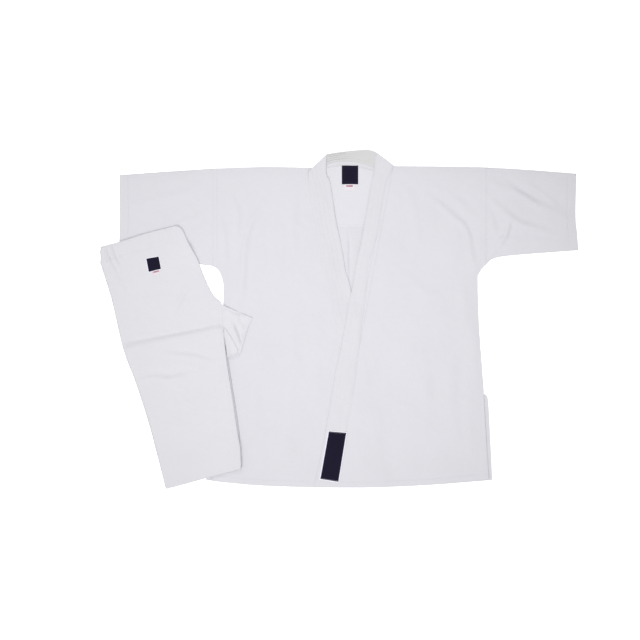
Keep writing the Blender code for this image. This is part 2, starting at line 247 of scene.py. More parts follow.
joined = [smooth_line(l, 6) for l in (JOIN_R, UNDER_R, JOIN_L, UNDER_L)]
opened = [smooth_line(l, 6) for l in (CUFF_R, CUFF_L, HEM, VENT_R, VENT_L)]
neckline = [smooth_line(V_UNDER, 6), smooth_line(V_OVER[:9], 6)]
d_join, d_open, d_neck = far_field(joined), far_field(opened), far_field(neckline)
loft = 4.7 * (1 - np.exp(-d_join / 13)) * (0.42 + 0.58 * (1 - np.exp(-d_open / 42)))
loft *= 0.38 + 0.62 * sm((d_neck - 6) / 52)
calm = 1 - np.exp(-np.minimum(d_join, d_open) / 22)
relief = (0.75 * waves(GX, GY, 120, 300, 14, 3) + 0.42 * waves(GX, GY, 48, 110, 22, 5)
          + 0.13 * waves(GX, GY, 18, 42, 30, 8))
FRONT = 1.9 + loft + relief * calm
CREASES = [
    ([(205, 290), (238, 268), (270, 240), (299, 211), (310, 150), (328, 98)], 3.3, 7.5),
    ([(262, 256), (298, 236), (322, 206), (330, 160)], 0.9, 8),
    ([(252, 302), (290, 266), (330, 228)], 1.6, 9),
    ([(286, 96), (292, 40), (300, -30)], 1.5, 10),
    ([(300, 60), (310, 10), (312, -60)], 1.0, 9),
    ([(-168, 282), (-192, 256), (-221, 197), (-229, 103), (-231, 41)], 3.2, 8),
    ([(-262, 306), (-244, 262), (-240, 205), (-252, 140)], 2.0, 8),
    ([(-282, 240), (-272, 190), (-266, 120)], 1.5, 7),
    ([(-250, 92), (-243, 30), (-250, -50)], 1.4, 11),
    ([(352, 330), (380, 312), (438, 286), (500, 256), (548, 232)], 3.0, 9),
    ([(352, 286), (388, 252), (426, 226), (480, 208), (530, 190)], 2.6, 8),
    ([(372, 338), (412, 306), (455, 276), (497, 240)], 1.9, 6.5),
    ([(440, 322), (470, 302), (500, 278), (530, 248)], 1.7, 6.5),
    ([(352, 258), (362, 222), (376, 186)], 1.8, 7),
    ([(402, 240), (394, 206), (376, 172)], 3.6, 5.2),
    ([(343, 130), (360, 156), (386, 188)], 2.8, 5.5),
    ([(352, 172), (372, 184), (400, 190), (440, 184)], 2.0, 7),
    ([(430, 196), (480, 182), (540, 178)], 1.3, 9),
    ([(-306, 322), (-360, 298), (-420, 284), (-500, 262)], 2.0, 10),
    ([(-308, 262), (-340, 236), (-384, 226)], 1.8, 8),
    ([(-318, 190), (-335, 168), (-368, 160)], 1.6, 7),
    ([(-470, 330), (-482, 290), (-480, 250)], 1.2, 9),
    ([(140, 330), (165, 290), (180, 225), (178, 150)], 1.5, 11),
    ([(-95, 335), (-110, 280), (-112, 215), (-104, 150)], 1.5, 11),
    ([(205, 20), (196, -80), (206, -200), (198, -320)], 1.3, 15),
    ([(270, -60), (262, -170), (272, -300)], 1.3, 13),
    ([(310, -150), (306, -250), (316, -340)], 1.0, 11),
    ([(-120, 10), (-112, -110), (-122, -250), (-116, -350)], 1.3, 15),
    ([(-190, -70), (-198, -190), (-190, -330)], 1.1, 14),
    ([(-50, 20), (-60, -90), (-52, -210)], 1.0, 13),
    ([(150, 110), (205, 60), (250, 55)], 1.2, 12),
]
for line, h, w in CREASES:
    FRONT += crease(GX, GY, line, h, w) * calm
FRONT -= crease(GX, GY, [(-356, 188), (-348.5, 171), (-341, 156)], 4.6, 3.0, 0.0)
FRONT = np.clip(FRONT, 1.9, 10.5)

# What lies under the over front: the under front and its lapel, which lift it.
hid_a = np.array([(27.5, 65), (70, -170), (110, -395)])
hidden = inside(np.array([(-340, -420), (-340, 420), (-31, 420), (-31, 344), (27.5, 65), (110, -396), (114, -420)]), GX, GY)
lapel_zone = inside(np.array([(-22, 65), (27.5, 65), (110, -395), (58, -395)]), GX, GY)
STEPUP = settle(np.where(lapel_zone, 2.35, np.where(hidden, 1.45, 0.0)), 0.006, 260, 6)
OVER = FRONT + STEPUP + 0.5 * (
    crease(GX, GY, [(60, 20), (72, -60), (84, -150), (98, -260), (112, -370)], 0.7, 9)
    + crease(GX, GY, [(118, 210), (108, 110), (118, 10)], 0.9, 10))

# The back, and the lining seen in the neck.
BACK = 0.62 + 0.16 * (1 + waves(GX, GY, 60, 200, 16, 21)) * (1 - np.exp(-np.minimum(d_join, d_open) / 18))
BACK += crease(GX, GY, [(17, 216), (18, 150), (18, 70)], 2.8, 4.5) + crease(GX, GY, [(37, 214), (34, 170), (28, 110)], 2.6, 4)
BACK += crease(GX, GY, [(27.5, 214), (26, 182)], 2.0, 3.5)
BACK = np.maximum(BACK, 0.6)
LINING = 2.0 + 0.22 * waves(GX, GY, 35, 90, 16, 31) + crease(GX, GY, [(-8, 290), (15, 262), (46, 250)], 0.5, 8)

# Under the trousers: the jacket's front and sleeve.
jacket_r = inside(outline([
    [(-62, 357.5), (-174, 359.5), (SEAM_R, 355.5), (-519, 340)], CUFF_R, UNDER_R,
    VENT_R, [(-298.5, -379), (-315, -378.5)], [(-315, -378.5), (-61, -395.5)],
    [(-61, -395.5), (60, -395)], [(60, -395), (-62, 357.5)]], 8), GX, GY)
BED = np.where(jacket_r, FRONT + 0.75, 0.0)
u_fold = (GX - FOLD_A[0]) * FU[0] + (GY - FOLD_A[1]) * FU[1]
v_fold = (GX - FOLD_A[0]) * FV[0] + (GY - FOLD_A[1]) * FV[1]
line_low = RISE * u_fold / FOLD_LEN
to_line = 1 - sm((v_fold - 12) / 85)
LOW = settle(BED, 0.013, 1100, 12)
LOW = LOW * (1 - to_line) + line_low * to_line
HEM_A, HEM_B = np.array((-504.0, -66.0)), np.array((-279.5, -18.5))
low_plan = outline([[tuple(HEM_A), (-474, -148), (-446, -237), tuple(FOLD_A)],
                    [tuple(FOLD_A), tuple(FOLD_B)],
                    [tuple(FOLD_B), (-240, -271), (-252, -187), (-264, -94), (-271, -60), tuple(HEM_B)],
                    [tuple(HEM_B), tuple(HEM_A)]], 5)
on_low = inside(low_plan + 0, GX, GY) | (v_fold < 40)
UP = settle(np.where(on_low, LOW + 5.6, BED + 0.1), 0.02, 900, 10)
UP = UP * (1 - to_line) + (line_low + 5.6) * to_line
UP -= crease(GX, GY, [(-530, -59), (-400, -35), (-262, -7)], 2.6, 3.4, 0.0)
leg_relief = 0.34 * waves(GX, GY, 60, 160, 16, 41) + 0.17 * waves(GX, GY, 22, 55, 22, 43)
for line, h, w in (
        ([(-358, 76), (-376, 44), (-394, 10)], 2.2, 5),
        ([(-482, -150), (-440, -138), (-400, -141), (-330, -126)], 2.6, 7),
        ([(-420, -82), (-350, -88), (-290, -104)], 2.2, 6),
        ([(-400, -100), (-345, -112), (-300, -124)], 1.0, 7),
        ([(-500, 60), (-455, 40), (-405, 46)], 1.0, 12),
        ([(-300, 40), (-318, 0), (-330, -60)], 1.0, 10),
        ([(-420, -230), (-380, -250), (-330, -240)], 0.9, 14),
        ([(-545, 120), (-520, 84), (-500, 40)], 1.2, 7)):
    leg_relief = leg_relief + crease(GX, GY, line, h, w)
leg_relief = leg_relief * (1 - 0.85 * to_line)

# ------------------------------------------------------------------ meshes


def plan_mesh(loop, step, lines=(), rows=(0.8, 2.0, 3.8), seed=1):
    """Triangulated plan inside a loop, finer along its edge and along the given lines."""
    loop = np.asarray(loop, float)
    area = 0.5 * float(np.sum(loop[:, 0] * np.roll(loop[:, 1], -1) - np.roll(loop[:, 0], -1) * loop[:, 1]))
    if area < 0:
        loop = loop[::-1]
    lo, hi = loop.min(0), loop.max(0)
    ys = np.arange(lo[1], hi[1] + step, step * 0.866)
    xs = np.arange(lo[0], hi[0] + step, step)
    X, Y = np.meshgrid(xs, ys)
    X = X + (np.arange(len(ys)) % 2)[:, None] * step * 0.5
    r = np.random.default_rng(seed)
    X = (X + r.uniform(-0.12, 0.12, X.shape) * step).ravel()
    Y = (Y + r.uniform(-0.12, 0.12, Y.shape) * step).ravel()
    d = near(loop, X, Y, True)[0]
    keep = inside(loop, X, Y) & (d > (rows[-1] if rows else 0) + 0.55 * step)
    X, Y = X[keep], Y[keep]
    extra = []
    tang = np.roll(loop, -1, 0) - np.roll(loop, 1, 0)
    tang /= np.maximum(np.linalg.norm(tang, axis=1), 1e-9)[:, None]
    for o in rows:
        q = loop + np.stack([-tang[:, 1], tang[:, 0]], 1) * o
        dq = near(loop, q[:, 0], q[:, 1], True)[0]
        ok = inside(loop, q[:, 0], q[:, 1]) & (dq > 0.9 * o)
        extra.append(q[ok])
    for line, offs, pitch in lines:
        p = spaced(np.asarray(line, float), pitch)
        t = np.gradient(p, axis=0)
        t /= np.maximum(np.linalg.norm(t, axis=1), 1e-9)[:, None]
        dl = near(p, X, Y)[0]
        keep = dl > max(abs(o) for o in offs) + 0.5 * step
        X, Y = X[keep], Y[keep]
        for o in offs:
            q = p + np.stack([-t[:, 1], t[:, 0]], 1) * o
            dq = near(loop, q[:, 0], q[:, 1], True)[0]
            ok = inside(loop, q[:, 0], q[:, 1]) & (dq > (rows[-1] if rows else 0) + 0.9)
            extra.append(q[ok])
    pts = np.vstack([loop, np.stack([X, Y], 1)] + extra)
    # Points closer than 0.55 mm to an earlier one go.
    key = np.round(pts / 0.55).astype(int)
    _, first = np.unique(key, axis=0, return_index=True)
    first = np.unique(np.concatenate([np.arange(len(loop)), first]))
    pts = pts[first]
    res = delaunay_2d_cdt([Vector(p) for p in pts], [], [list(range(len(loop)))], 1, 1e-5)
    verts = np.array([tuple(v) for v in res[0]])
    tris = np.array([f for f in res[2] if len(f) == 3], int)
    a, b, c = verts[tris[:, 0]], verts[tris[:, 1]], verts[tris[:, 2]]
    cr = (b[:, 0] - a[:, 0]) * (c[:, 1] - a[:, 1]) - (b[:, 1] - a[:, 1]) * (c[:, 0] - a[:, 0])
    tris[cr < 0] = tris[cr < 0][:, ::-1]
    tris = tris[np.abs(cr) > 1e-7]
    used = np.unique(tris)
    remap = -np.ones(len(verts), int)
    remap[used] = np.arange(len(used))
    return verts[used], remap[tris], abs(area) * 1e-6


def thick(name, co, tris, t, uv, wear=None):
    """A closed cloth of thickness t mm round a middle surface, with rounded edges."""
    co = np.asarray(co, float)
    t = np.broadcast_to(np.asarray(t, float), (len(co),))[:, None]
    co = np.column_stack([co[:, :2], np.maximum(co[:, 2], t[:, 0] / 2 + 0.04)])
    a, b, c = co[tris[:, 0]], co[tris[:, 1]], co[tris[:, 2]]
    fn = np.cross(b - a, c - a)
    vn = np.zeros_like(co)
    for k in range(3):
        np.add.at(vn, tris[:, k], fn)
    vn /= np.maximum(np.linalg.norm(vn, axis=1), 1e-12)[:, None]
    e = np.vstack([tris[:, [0, 1]], tris[:, [1, 2]], tris[:, [2, 0]]])
    key = np.sort(e, 1)
    _, inv, cnt = np.unique(key, axis=0, return_inverse=True, return_counts=True)
    rim = e[cnt[inv.ravel()] == 1]                      # directed, the face is on its left
    out = np.zeros_like(co)
    tang = co[rim[:, 1]] - co[rim[:, 0]]
    side = np.cross(tang, vn[rim[:, 0]])
    side /= np.maximum(np.linalg.norm(side, axis=1), 1e-12)[:, None]
    np.add.at(out, rim[:, 0], side)
    np.add.at(out, rim[:, 1], side)
    out /= np.maximum(np.linalg.norm(out, axis=1), 1e-12)[:, None]
    n = len(co)
    rv = np.unique(rim)
    ix = -np.ones(n, int)
    ix[rv] = np.arange(len(rv))
    m = len(rv)
    top, bot = co + vn * t / 2, co - vn * t / 2
    # The rounded edge: the outer faces stop a little short and the rim bulges past them.
    top[rv] -= out[rv] * t[rv] * 0.16
    bot[rv] -= out[rv] * t[rv] * 0.16
    r1 = co[rv] + out[rv] * t[rv] * 0.22 + vn[rv] * t[rv] * 0.30
    r2 = co[rv] + out[rv] * t[rv] * 0.22 - vn[rv] * t[rv] * 0.30
    verts = np.vstack([top, bot, r1, r2])
    T, B, R1, R2 = rim, rim + n, 2 * n + ix[rim], 2 * n + m + ix[rim]
    quads = np.vstack([
        np.stack([T[:, 1], T[:, 0], R1[:, 0], R1[:, 1]], 1),
        np.stack([R1[:, 1], R1[:, 0], R2[:, 0], R2[:, 1]], 1),
        np.stack([R2[:, 1], R2[:, 0], B[:, 0], B[:, 1]], 1)])
    tri = np.vstack([tris, tris[:, ::-1] + n])
    uvv = np.vstack([uv, uv, uv[rv], uv[rv]])
    wv = np.zeros(n) if wear is None else wear
    wv = np.concatenate([wv, wv, np.maximum(wv[rv], 0.6), np.maximum(wv[rv], 0.6)])
    return make(name, verts, tri, quads, uvv, wv)


def make(name, verts, tri, quads, uvv, wear=None):
    me = bpy.data.meshes.new(name)
    nt, nq = len(tri), len(quads)
    me.vertices.add(len(verts))
    me.vertices.foreach_set("co", (np.asarray(verts, np.float32) * MM).ravel())
    loops = np.concatenate([np.asarray(tri).ravel(), np.asarray(quads).ravel()]).astype(np.int32)
    me.loops.add(len(loops))
    me.loops.foreach_set("vertex_index", loops)
    me.polygons.add(nt + nq)
    starts = np.concatenate([np.arange(nt) * 3, nt * 3 + np.arange(nq) * 4]).astype(np.int32)
    me.polygons.foreach_set("loop_start", starts)
    me.update(calc_edges=True)
    uvl = me.uv_layers.new(name="Cloth")
    uvl.data.foreach_set("uv", (np.asarray(uvv, np.float32)[loops] * MM).ravel())
    if wear is not None:
        at = me.attributes.new("wear", "FLOAT", "POINT")
        at.data.foreach_set("value", np.asarray(wear, np.float32))
    me.validate()
    me.shade_smooth()
    ob = bpy.data.objects.new(name, me)
    bpy.context.scene.collection.objects.link(ob)
    return ob


def edge_wear(x, y, loop, lines=()):
    w = np.exp(-near(loop, x, y, True)[0] / 3.0)
    for l in lines:
        w = np.maximum(w, 0.3 * np.exp(-(near(l, x, y)[0] / 1.6) ** 2))
    return w


def stitched(x, y, lines, depth=0.13, seed=0):
    """The groove along each row of stitches, and the puckers beside it."""
    z = np.zeros(np.shape(x))
    for k, l in enumerate(lines):
        d, side, s, total = near(l, x, y)
        ends = sm(s / 3) * sm((total - s) / 3)
        z -= depth * np.exp(-(d / 1.15) ** 2) * ends
        r = np.random.default_rng(seed + k)
        pk = np.sin(s / 11.0 * 2 * math.pi + 2.2 * np.sin(s / 37.0 + r.uniform(0, 6)))
        z += 0.09 * pk * np.exp(-(d / 5.5) ** 2) * ends
    return z


def cloth(name, loop, height, t, step=4.5, lines=(), rows=(0.8, 2.0, 3.8), relief=True, seed=1, wear_lines=()):
    """A flat cut of cloth lying at height(x, y), with rows of stitching along lines."""
    rowed = [(l, (-2.3, -1.0, 0.0, 1.0, 2.3), 2.6) for l in lines]
    v, tr, area = plan_mesh(loop, step, rowed, rows, seed)
    x, y = v[:, 0], v[:, 1]
    z = height(x, y) + (stitched(x, y, lines, seed=seed * 10) if lines and relief else 0)
    t = t(x, y) if callable(t) else t
    ob = thick(name, np.column_stack([x, y, z]), tr, t, v, edge_wear(x, y, np.asarray(loop), lines))
    return ob, area


def tube(name, loop, folded, top, bottom, t, step=4.5, lines=(), seed=1):
    """A flattened tube: two layers of one plan, closed along the folded lines."""
    rowed = [(l, (-2.3, -1.0, 0.0, 1.0, 2.3), 2.6) for l in lines]
    v, tr, area = plan_mesh(loop, step, rowed, (0.7, 1.6, 3.0, 5.0), seed)
    x, y = v[:, 0], v[:, 1]
    d = dist(folded, x, y)
    shared = (d < 0.05)
    e = np.sort(np.vstack([tr[:, [0, 1]], tr[:, [1, 2]], tr[:, [2, 0]]]), 1)
    uq, cnt = np.unique(e, axis=0, return_counts=True)
    on_rim = np.zeros(len(v), bool)
    on_rim[np.unique(uq[cnt == 1])] = True
    shared &= on_rim
    round_in = np.sqrt(1 - (1 - np.clip(d / 3.0, 0, 1)) ** 2)
    zt, zb = top(x, y), bottom(x, y)
    if lines:
        zt = zt + stitched(x, y, lines, seed=seed * 10) * round_in
    mid = (zt + zb) / 2
    zt, zb = mid + (zt - mid) * round_in, mid + (zb - mid) * round_in
    n = len(v)
    low = np.arange(n) + n
    low[shared] = np.arange(n)[shared]
    co = np.vstack([np.column_stack([x, y, zt]), np.column_stack([x, y, zb])])
    faces = np.vstack([tr, low[tr][:, ::-1]])
    used = np.unique(faces)
    remap = -np.ones(2 * n, int)
    remap[used] = np.arange(len(used))
    uv = np.vstack([v, v + np.array([2000.0, 0.0])])[used]
    w = np.tile(edge_wear(x, y, np.asarray(loop), lines), 2)[used]
    ob = thick(name, co[used], remap[faces], t, uv, w)
    return ob, 2 * area


def grid_sheet(name, pts, t, uv=None):
    """A closed cloth round a middle surface given as rows of points."""
    p = np.asarray(pts, float)
    m, n = p.shape[:2]
    idx = np.arange(m * n).reshape(m, n)
    a, b, c, d = idx[:-1, :-1].ravel(), idx[1:, :-1].ravel(), idx[1:, 1:].ravel(), idx[:-1, 1:].ravel()
    tr = np.vstack([np.stack([a, b, c], 1), np.stack([a, c, d], 1)])
    co = p.reshape(-1, 3)
    if uv is None:
        su = np.concatenate([[0], np.cumsum(np.linalg.norm(np.diff(p[:, n // 2], axis=0), axis=1))])
        sv = np.concatenate([[0], np.cumsum(np.linalg.norm(np.diff(p[m // 2], axis=0), axis=1))])
        uv = np.stack(np.meshgrid(su, sv, indexing="ij"), -1).reshape(-1, 2)
    e = np.linalg.norm(np.diff(p, axis=0), axis=2)
    f = np.linalg.norm(np.diff(p, axis=1), axis=2)
    area = float(e.mean(1).sum() * f.mean(0).sum()) * 1e-6
    return thick(name, co, tr, t, uv, np.zeros(len(co))), area


def roll(name, line3, rx, rz, sides=10):
    """A rolled seam: an oval tube along a line, closed at both ends."""
    p = np.asarray(line3, float)
    t = np.gradient(p, axis=0)
    t[:, 2] = 0
    t /= np.maximum(np.linalg.norm(t, axis=1), 1e-9)[:, None]
    s = np.stack([-t[:, 1], t[:, 0], np.zeros(len(t))], 1)
    a = np.linspace(0, 2 * np.pi, sides, endpoint=False)
    end = np.minimum(np.arange(len(p)), np.arange(len(p))[::-1])
    k = np.where(end == 0, 0.45, 1.0)
    rz = np.broadcast_to(rz, (len(p),))
    ring = (p[:, None, :] + s[:, None, :] * (np.cos(a)[None, :, None] * rx * k[:, None, None])
            + np.array([0, 0, 1.0])[None, None, :] * (np.sin(a)[None, :, None] * (rz * k)[:, None, None]))
    m = len(p)
    idx = np.arange(m * sides).reshape(m, sides)
    nx = np.roll(idx, -1, 1)
    quads = np.stack([idx[:-1].ravel(), idx[1:].ravel(), nx[1:].ravel(), nx[:-1].ravel()], 1)
    quads = quads[:, ::-1]
    verts = ring.reshape(-1, 3)
    c0, c1 = len(verts), len(verts) + 1
    verts = np.vstack([verts, p[:1], p[-1:]])
    cap = np.vstack([np.stack([np.full(sides, c0), idx[0], nx[0]], 1),
                     np.stack([np.full(sides, c1), nx[-1], idx[-1]], 1)])[:, ::-1]
    sl = np.concatenate([[0], np.cumsum(np.linalg.norm(np.diff(p, axis=0), axis=1))])
    uv = np.stack(np.meshgrid(sl, np.linspace(0, 2 * rx * 3, sides), indexing="ij"), -1).reshape(-1, 2)
    uv = np.vstack([uv, [[0, 0], [sl[-1], 0]]])
    return make(name, verts, cap, quads, uv, np.full(len(verts), 0.5))


def stitches(name, runs, pitch=3.9, length=2.9, w=0.25, h=0.17):
    """Rows of thread: each stitch is a small bead that dips into the cloth at both ends."""
    V, Q = [], []
    n0 = 0
    for p in runs:
        p = spaced(np.asarray(p, float), 0.5)
        seg = np.concatenate([[0], np.cumsum(np.linalg.norm(np.diff(p, axis=0), axis=1))])
        if seg[-1] < pitch * 2:
            continue
        c = np.arange(pitch, seg[-1] - pitch * 0.5, pitch)
        at = lambda s: np.stack([np.interp(s, seg, p[:, k]) for k in range(3)], 1)
        offs = np.array([-0.5, -0.3, 0.0, 0.3, 0.5]) * length
        up = np.array([-0.28, 0.06, 0.16, 0.06, -0.28])
        wid = np.array([0.55, 1.0, 1.1, 1.0, 0.55])
        t = at(c + 0.5) - at(c - 0.5)
        t /= np.maximum(np.linalg.norm(t, axis=1), 1e-9)[:, None]
        s = np.cross(np.array([0, 0, 1.0]), t)
        s /= np.maximum(np.linalg.norm(s, axis=1), 1e-9)[:, None]
        nn = np.cross(t, s)
        rings = []
        for o, z, k in zip(offs, up, wid):
            m = at(c + o) + nn * z
            rings.append(np.stack([m + s * w * k, m + nn * h * k, m - s * w * k, m - nn * h * k], 1))
        R = np.stack(rings, 1)                     # stitches, rings, 4, 3
        ns = len(c)
        idx = np.arange(ns * 20).reshape(ns, 5, 4) + n0
        V.append(R.reshape(-1, 3))
        nx = np.roll(idx, -1, 2)
        Q.append(np.stack([idx[:, :-1], idx[:, 1:], nx[:, 1:], nx[:, :-1]], -1).reshape(-1, 4)[:, ::-1])
        Q.append(idx[:, 0][:, ::-1][:, ::-1])
        Q.append(idx[:, 4][:, ::-1])
        n0 += ns * 20
    V, Q = np.vstack(V), np.vstack(Q)
    return make(name, V, np.zeros((0, 3), int), Q, V[:, :2], np.zeros(len(V)))


def lift(line, grid, up):
    """A plan line laid on a height, with up added."""
    p = spaced(np.asarray(line, float), 3.0)
    z = grid(p[:, 0], p[:, 1]) if callable(grid) else read(grid, p[:, 0], p[:, 1])
    return np.column_stack([p, z + up])


def offset(line, d, step=4.0):
    """A line moved to its left by d."""
    p = smooth_line(line, step)
    t = np.gradient(p, axis=0)
    t /= np.maximum(np.linalg.norm(t, axis=1), 1e-9)[:, None]
    return p + np.stack([-t[:, 1], t[:, 0]], 1) * d


def cut(line, a=0.0, b=0.0):
    """A line shortened by a at its start and b at its end."""
    p = spaced(np.asarray(line, float), 1.0)
    return p[int(a): len(p) - int(b)]


# ------------------------------------------------------------------ materials


def node(nt, kind, **kw):
    n = nt.nodes.new(kind)
    for k, v in kw.items():
        if k in n.inputs:
            n.inputs[k].default_value = v
        else:
            setattr(n, k, v)
    return n


def cotton(name, colour, pitch=1.0, spec=0.25, weave=0.00010, rough=0.88, tone=0.022, sheen=0.12, crumple=0.00035, worn=(0.982, 0.982, 0.986)):
    """Plain-woven cotton: crossing yarns, slubs, soft crumple, and a little wear at the edges."""
    mat = bpy.data.materials.new(name)
    mat.use_nodes = True
    nt = mat.node_tree
    L = nt.links.new
    bsdf = nt.nodes["Principled BSDF"]
    bsdf.inputs["Metallic"].default_value = 0.0
    bsdf.inputs["Sheen Weight"].default_value = sheen
    bsdf.inputs["Sheen Roughness"].default_value = 0.45
    bsdf.inputs["Specular IOR Level"].default_value = spec
    uv = node(nt, "ShaderNodeUVMap", uv_map="Cloth")
    mul = node(nt, "ShaderNodeVectorMath", operation="SCALE")
    mul.inputs["Scale"].default_value = 2 * math.pi / (pitch * MM)
    L(uv.outputs["UV"], mul.inputs[0])
    sep = node(nt, "ShaderNodeSeparateXYZ")
    L(mul.outputs["Vector"], sep.inputs[0])
    sx = node(nt, "ShaderNodeMath", operation="SINE")
    sy = node(nt, "ShaderNodeMath", operation="SINE")
    L(sep.outputs["X"], sx.inputs[0])
    L(sep.outputs["Y"], sy.inputs[0])
    yarn = node(nt, "ShaderNodeMath", operation="MULTIPLY")
    L(sx.outputs[0], yarn.inputs[0])
    L(sy.outputs[0], yarn.inputs[1])
    # Slubs: noise drawn out along the warp and along the weft.
    slub = []
    for stretch in ((1.0, 14.0, 1.0), (14.0, 1.0, 1.0)):
        mp = node(nt, "ShaderNodeMapping")
        mp.inputs["Scale"].default_value = stretch
        L(uv.outputs["UV"], mp.inputs["Vector"])
        nz = node(nt, "ShaderNodeTexNoise", Scale=70.0, Detail=3.0, Roughness=0.6)
        L(mp.outputs["Vector"], nz.inputs["Vector"])
        slub.append(nz)
    add = node(nt, "ShaderNodeMath", operation="ADD")
    L(slub[0].outputs["Fac"], add.inputs[0])
    L(slub[1].outputs["Fac"], add.inputs[1])
    broad = node(nt, "ShaderNodeTexNoise", Scale=9.0, Detail=4.0, Roughness=0.55)
    L(uv.outputs["UV"], broad.inputs["Vector"])
    crump = node(nt, "ShaderNodeTexNoise", Scale=95.0, Detail=3.0, Roughness=0.5, Distortion=0.6)
    L(uv.outputs["UV"], crump.inputs["Vector"])
    # Colour: the base, a little lighter or darker by slub and by broad tone, with painted shade greying the valleys
    # between yarns.
    dark = tuple(c * (1 - 2.2 * tone) for c in colour)
    lite = tuple(min(c * (1 + tone), 1.0) for c in colour)
    m1 = node(nt, "ShaderNodeMix", data_type="RGBA")
    m1.inputs[6].default_value = (*dark, 1)
    m1.inputs[7].default_value = (*lite, 1)
    half = node(nt, "ShaderNodeMath", operation="MULTIPLY_ADD")
    half.inputs[1].default_value = 0.38
    L(add.outputs[0], half.inputs[0])
    bmul = node(nt, "ShaderNodeMath", operation="MULTIPLY")
    bmul.inputs[1].default_value = 0.62
    L(broad.outputs["Fac"], bmul.inputs[0])
    L(bmul.outputs[0], half.inputs[2])
    L(half.outputs[0], m1.inputs[0])
    # Painted shade: the colour is darkened where the yarn height is low, in the hollows between yarns.
    valley_shade_mix = node(nt, "ShaderNodeMix", data_type="RGBA", blend_type="MULTIPLY")
    valley_shade_mix.inputs[7].default_value = (0.955, 0.955, 0.965, 1)
    yarn_valley_shade = node(nt, "ShaderNodeMapRange")
    yarn_valley_shade.inputs["From Min"].default_value = 0.1
    yarn_valley_shade.inputs["From Max"].default_value = -1.0
    L(yarn.outputs[0], yarn_valley_shade.inputs["Value"])
    L(yarn_valley_shade.outputs["Result"], valley_shade_mix.inputs[0])
    L(m1.outputs[2], valley_shade_mix.inputs[6])
    wear = node(nt, "ShaderNodeAttribute", attribute_name="wear")
    wn = node(nt, "ShaderNodeMath", operation="MULTIPLY")
    L(wear.outputs["Fac"], wn.inputs[0])
    L(crump.outputs["Fac"], wn.inputs[1])
    m3 = node(nt, "ShaderNodeMix", data_type="RGBA", blend_type="MULTIPLY")
    m3.inputs[7].default_value = (*worn, 1)
    L(wn.outputs[0], m3.inputs[0])
    L(valley_shade_mix.outputs[2], m3.inputs[6])
    L(m3.outputs[2], bsdf.inputs["Base Color"])
    rr = node(nt, "ShaderNodeMapRange")
    rr.inputs["To Min"].default_value = rough - 0.06
    rr.inputs["To Max"].default_value = min(rough + 0.08, 1.0)
    L(broad.outputs["Fac"], rr.inputs["Value"])
    L(rr.outputs["Result"], bsdf.inputs["Roughness"])
    b1 = node(nt, "ShaderNodeBump")
    b1.inputs["Strength"].default_value = 0.55
    b1.inputs["Distance"].default_value = weave
    L(yarn.outputs[0], b1.inputs["Height"])
    b2 = node(nt, "ShaderNodeBump")
    b2.inputs["Strength"].default_value = 0.6
    b2.inputs["Distance"].default_value = crumple
    L(crump.outputs["Fac"], b2.inputs["Height"])
    L(b1.outputs["Normal"], b2.inputs["Normal"])
    b3 = node(nt, "ShaderNodeBump")
    b3.inputs["Strength"].default_value = 0.4
    b3.inputs["Distance"].default_value = crumple * 0.7
    L(add.outputs[0], b3.inputs["Height"])
    L(b2.outputs["Normal"], b3.inputs["Normal"])
    L(b3.outputs["Normal"], bsdf.inputs["Normal"])
    return mat


BASE = (0.572, 0.566, 0.598)
M_BODY = cotton("uniform_canvas", BASE)
M_LEG = cotton("trouser_canvas", (0.580, 0.575, 0.605), pitch=0.95)
M_BAND = cotton("lapel_canvas", (0.572, 0.567, 0.597), pitch=0.85, crumple=0.00028)
# Painted shade: the same canvas made darker and greyer for the back collar's upright inner face.
M_COLLAR_SHADE = cotton("collar_inside_painted_shade", (0.525, 0.525, 0.528), pitch=0.85, crumple=0.0003)
M_LINING = cotton("shoulder_lining", (0.585, 0.58, 0.612), pitch=0.75, weave=0.00007)
M_NAVY = cotton("navy_label", (0.0092, 0.0079, 0.0200), pitch=0.55, spec=0.06, weave=0.00012, rough=0.8, tone=0.16, sheen=0.0, crumple=0.00015, worn=(1.9, 1.8, 1.7))
M_EDGE = cotton("label_border", (0.74, 0.735, 0.80), pitch=0.5, weave=0.00010, rough=0.7)
M_SATIN = cotton("size_tape", (0.60, 0.575, 0.60), pitch=0.45, weave=0.00005, rough=0.5, crumple=0.0001)
M_TAPE = cotton("trouser_size_tape", (0.60, 0.54, 0.575), pitch=0.45, weave=0.00005, rough=0.5, crumple=0.0001)
M_RED = cotton("size_mark", (0.36, 0.15, 0.20), pitch=0.45, weave=0.00005, rough=0.55, crumple=0.0001)
M_THREAD = cotton("sewing_thread", (0.59, 0.585, 0.615), pitch=0.35, weave=0.00005, rough=0.6, sheen=0.3, crumple=0.00005)


def paint(ob, mat):
    ob.data.materials.clear()
    ob.data.materials.append(mat)
    return ob


FLAP_N = np.array((FOLD_HEM[1] - FOLD_NECK[1], -(FOLD_HEM[0] - FOLD_NECK[0])))
FLAP_N = FLAP_N / np.linalg.norm(FLAP_N)
if FLAP_N[0] < 0:
    FLAP_N = -FLAP_N                           # towards the part that stays


def put(ob, how, replaced=(), flat=None, area=None, mat=None):
    """Paints one finished piece, hides the parts it replaces, and attaches it to its body (flap and sleeve pieces only
    have their transform baked).
    """
    if mat is not None:
        paint(ob, mat)
    if how == "flap":
        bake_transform(ob)
    elif how == "left_sleeve":
        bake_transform(ob)
    elif how == "right_sleeve":
        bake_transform(ob)
    else:
        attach(ob, how)
    if replaced:
        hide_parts(*replaced)
    if flat is not None:
        w, l = flat
        if area is not None:
            k = max(1.0, math.sqrt(area * 1.002 / (w * l)))
            w, l = w * k, l * k
    return ob


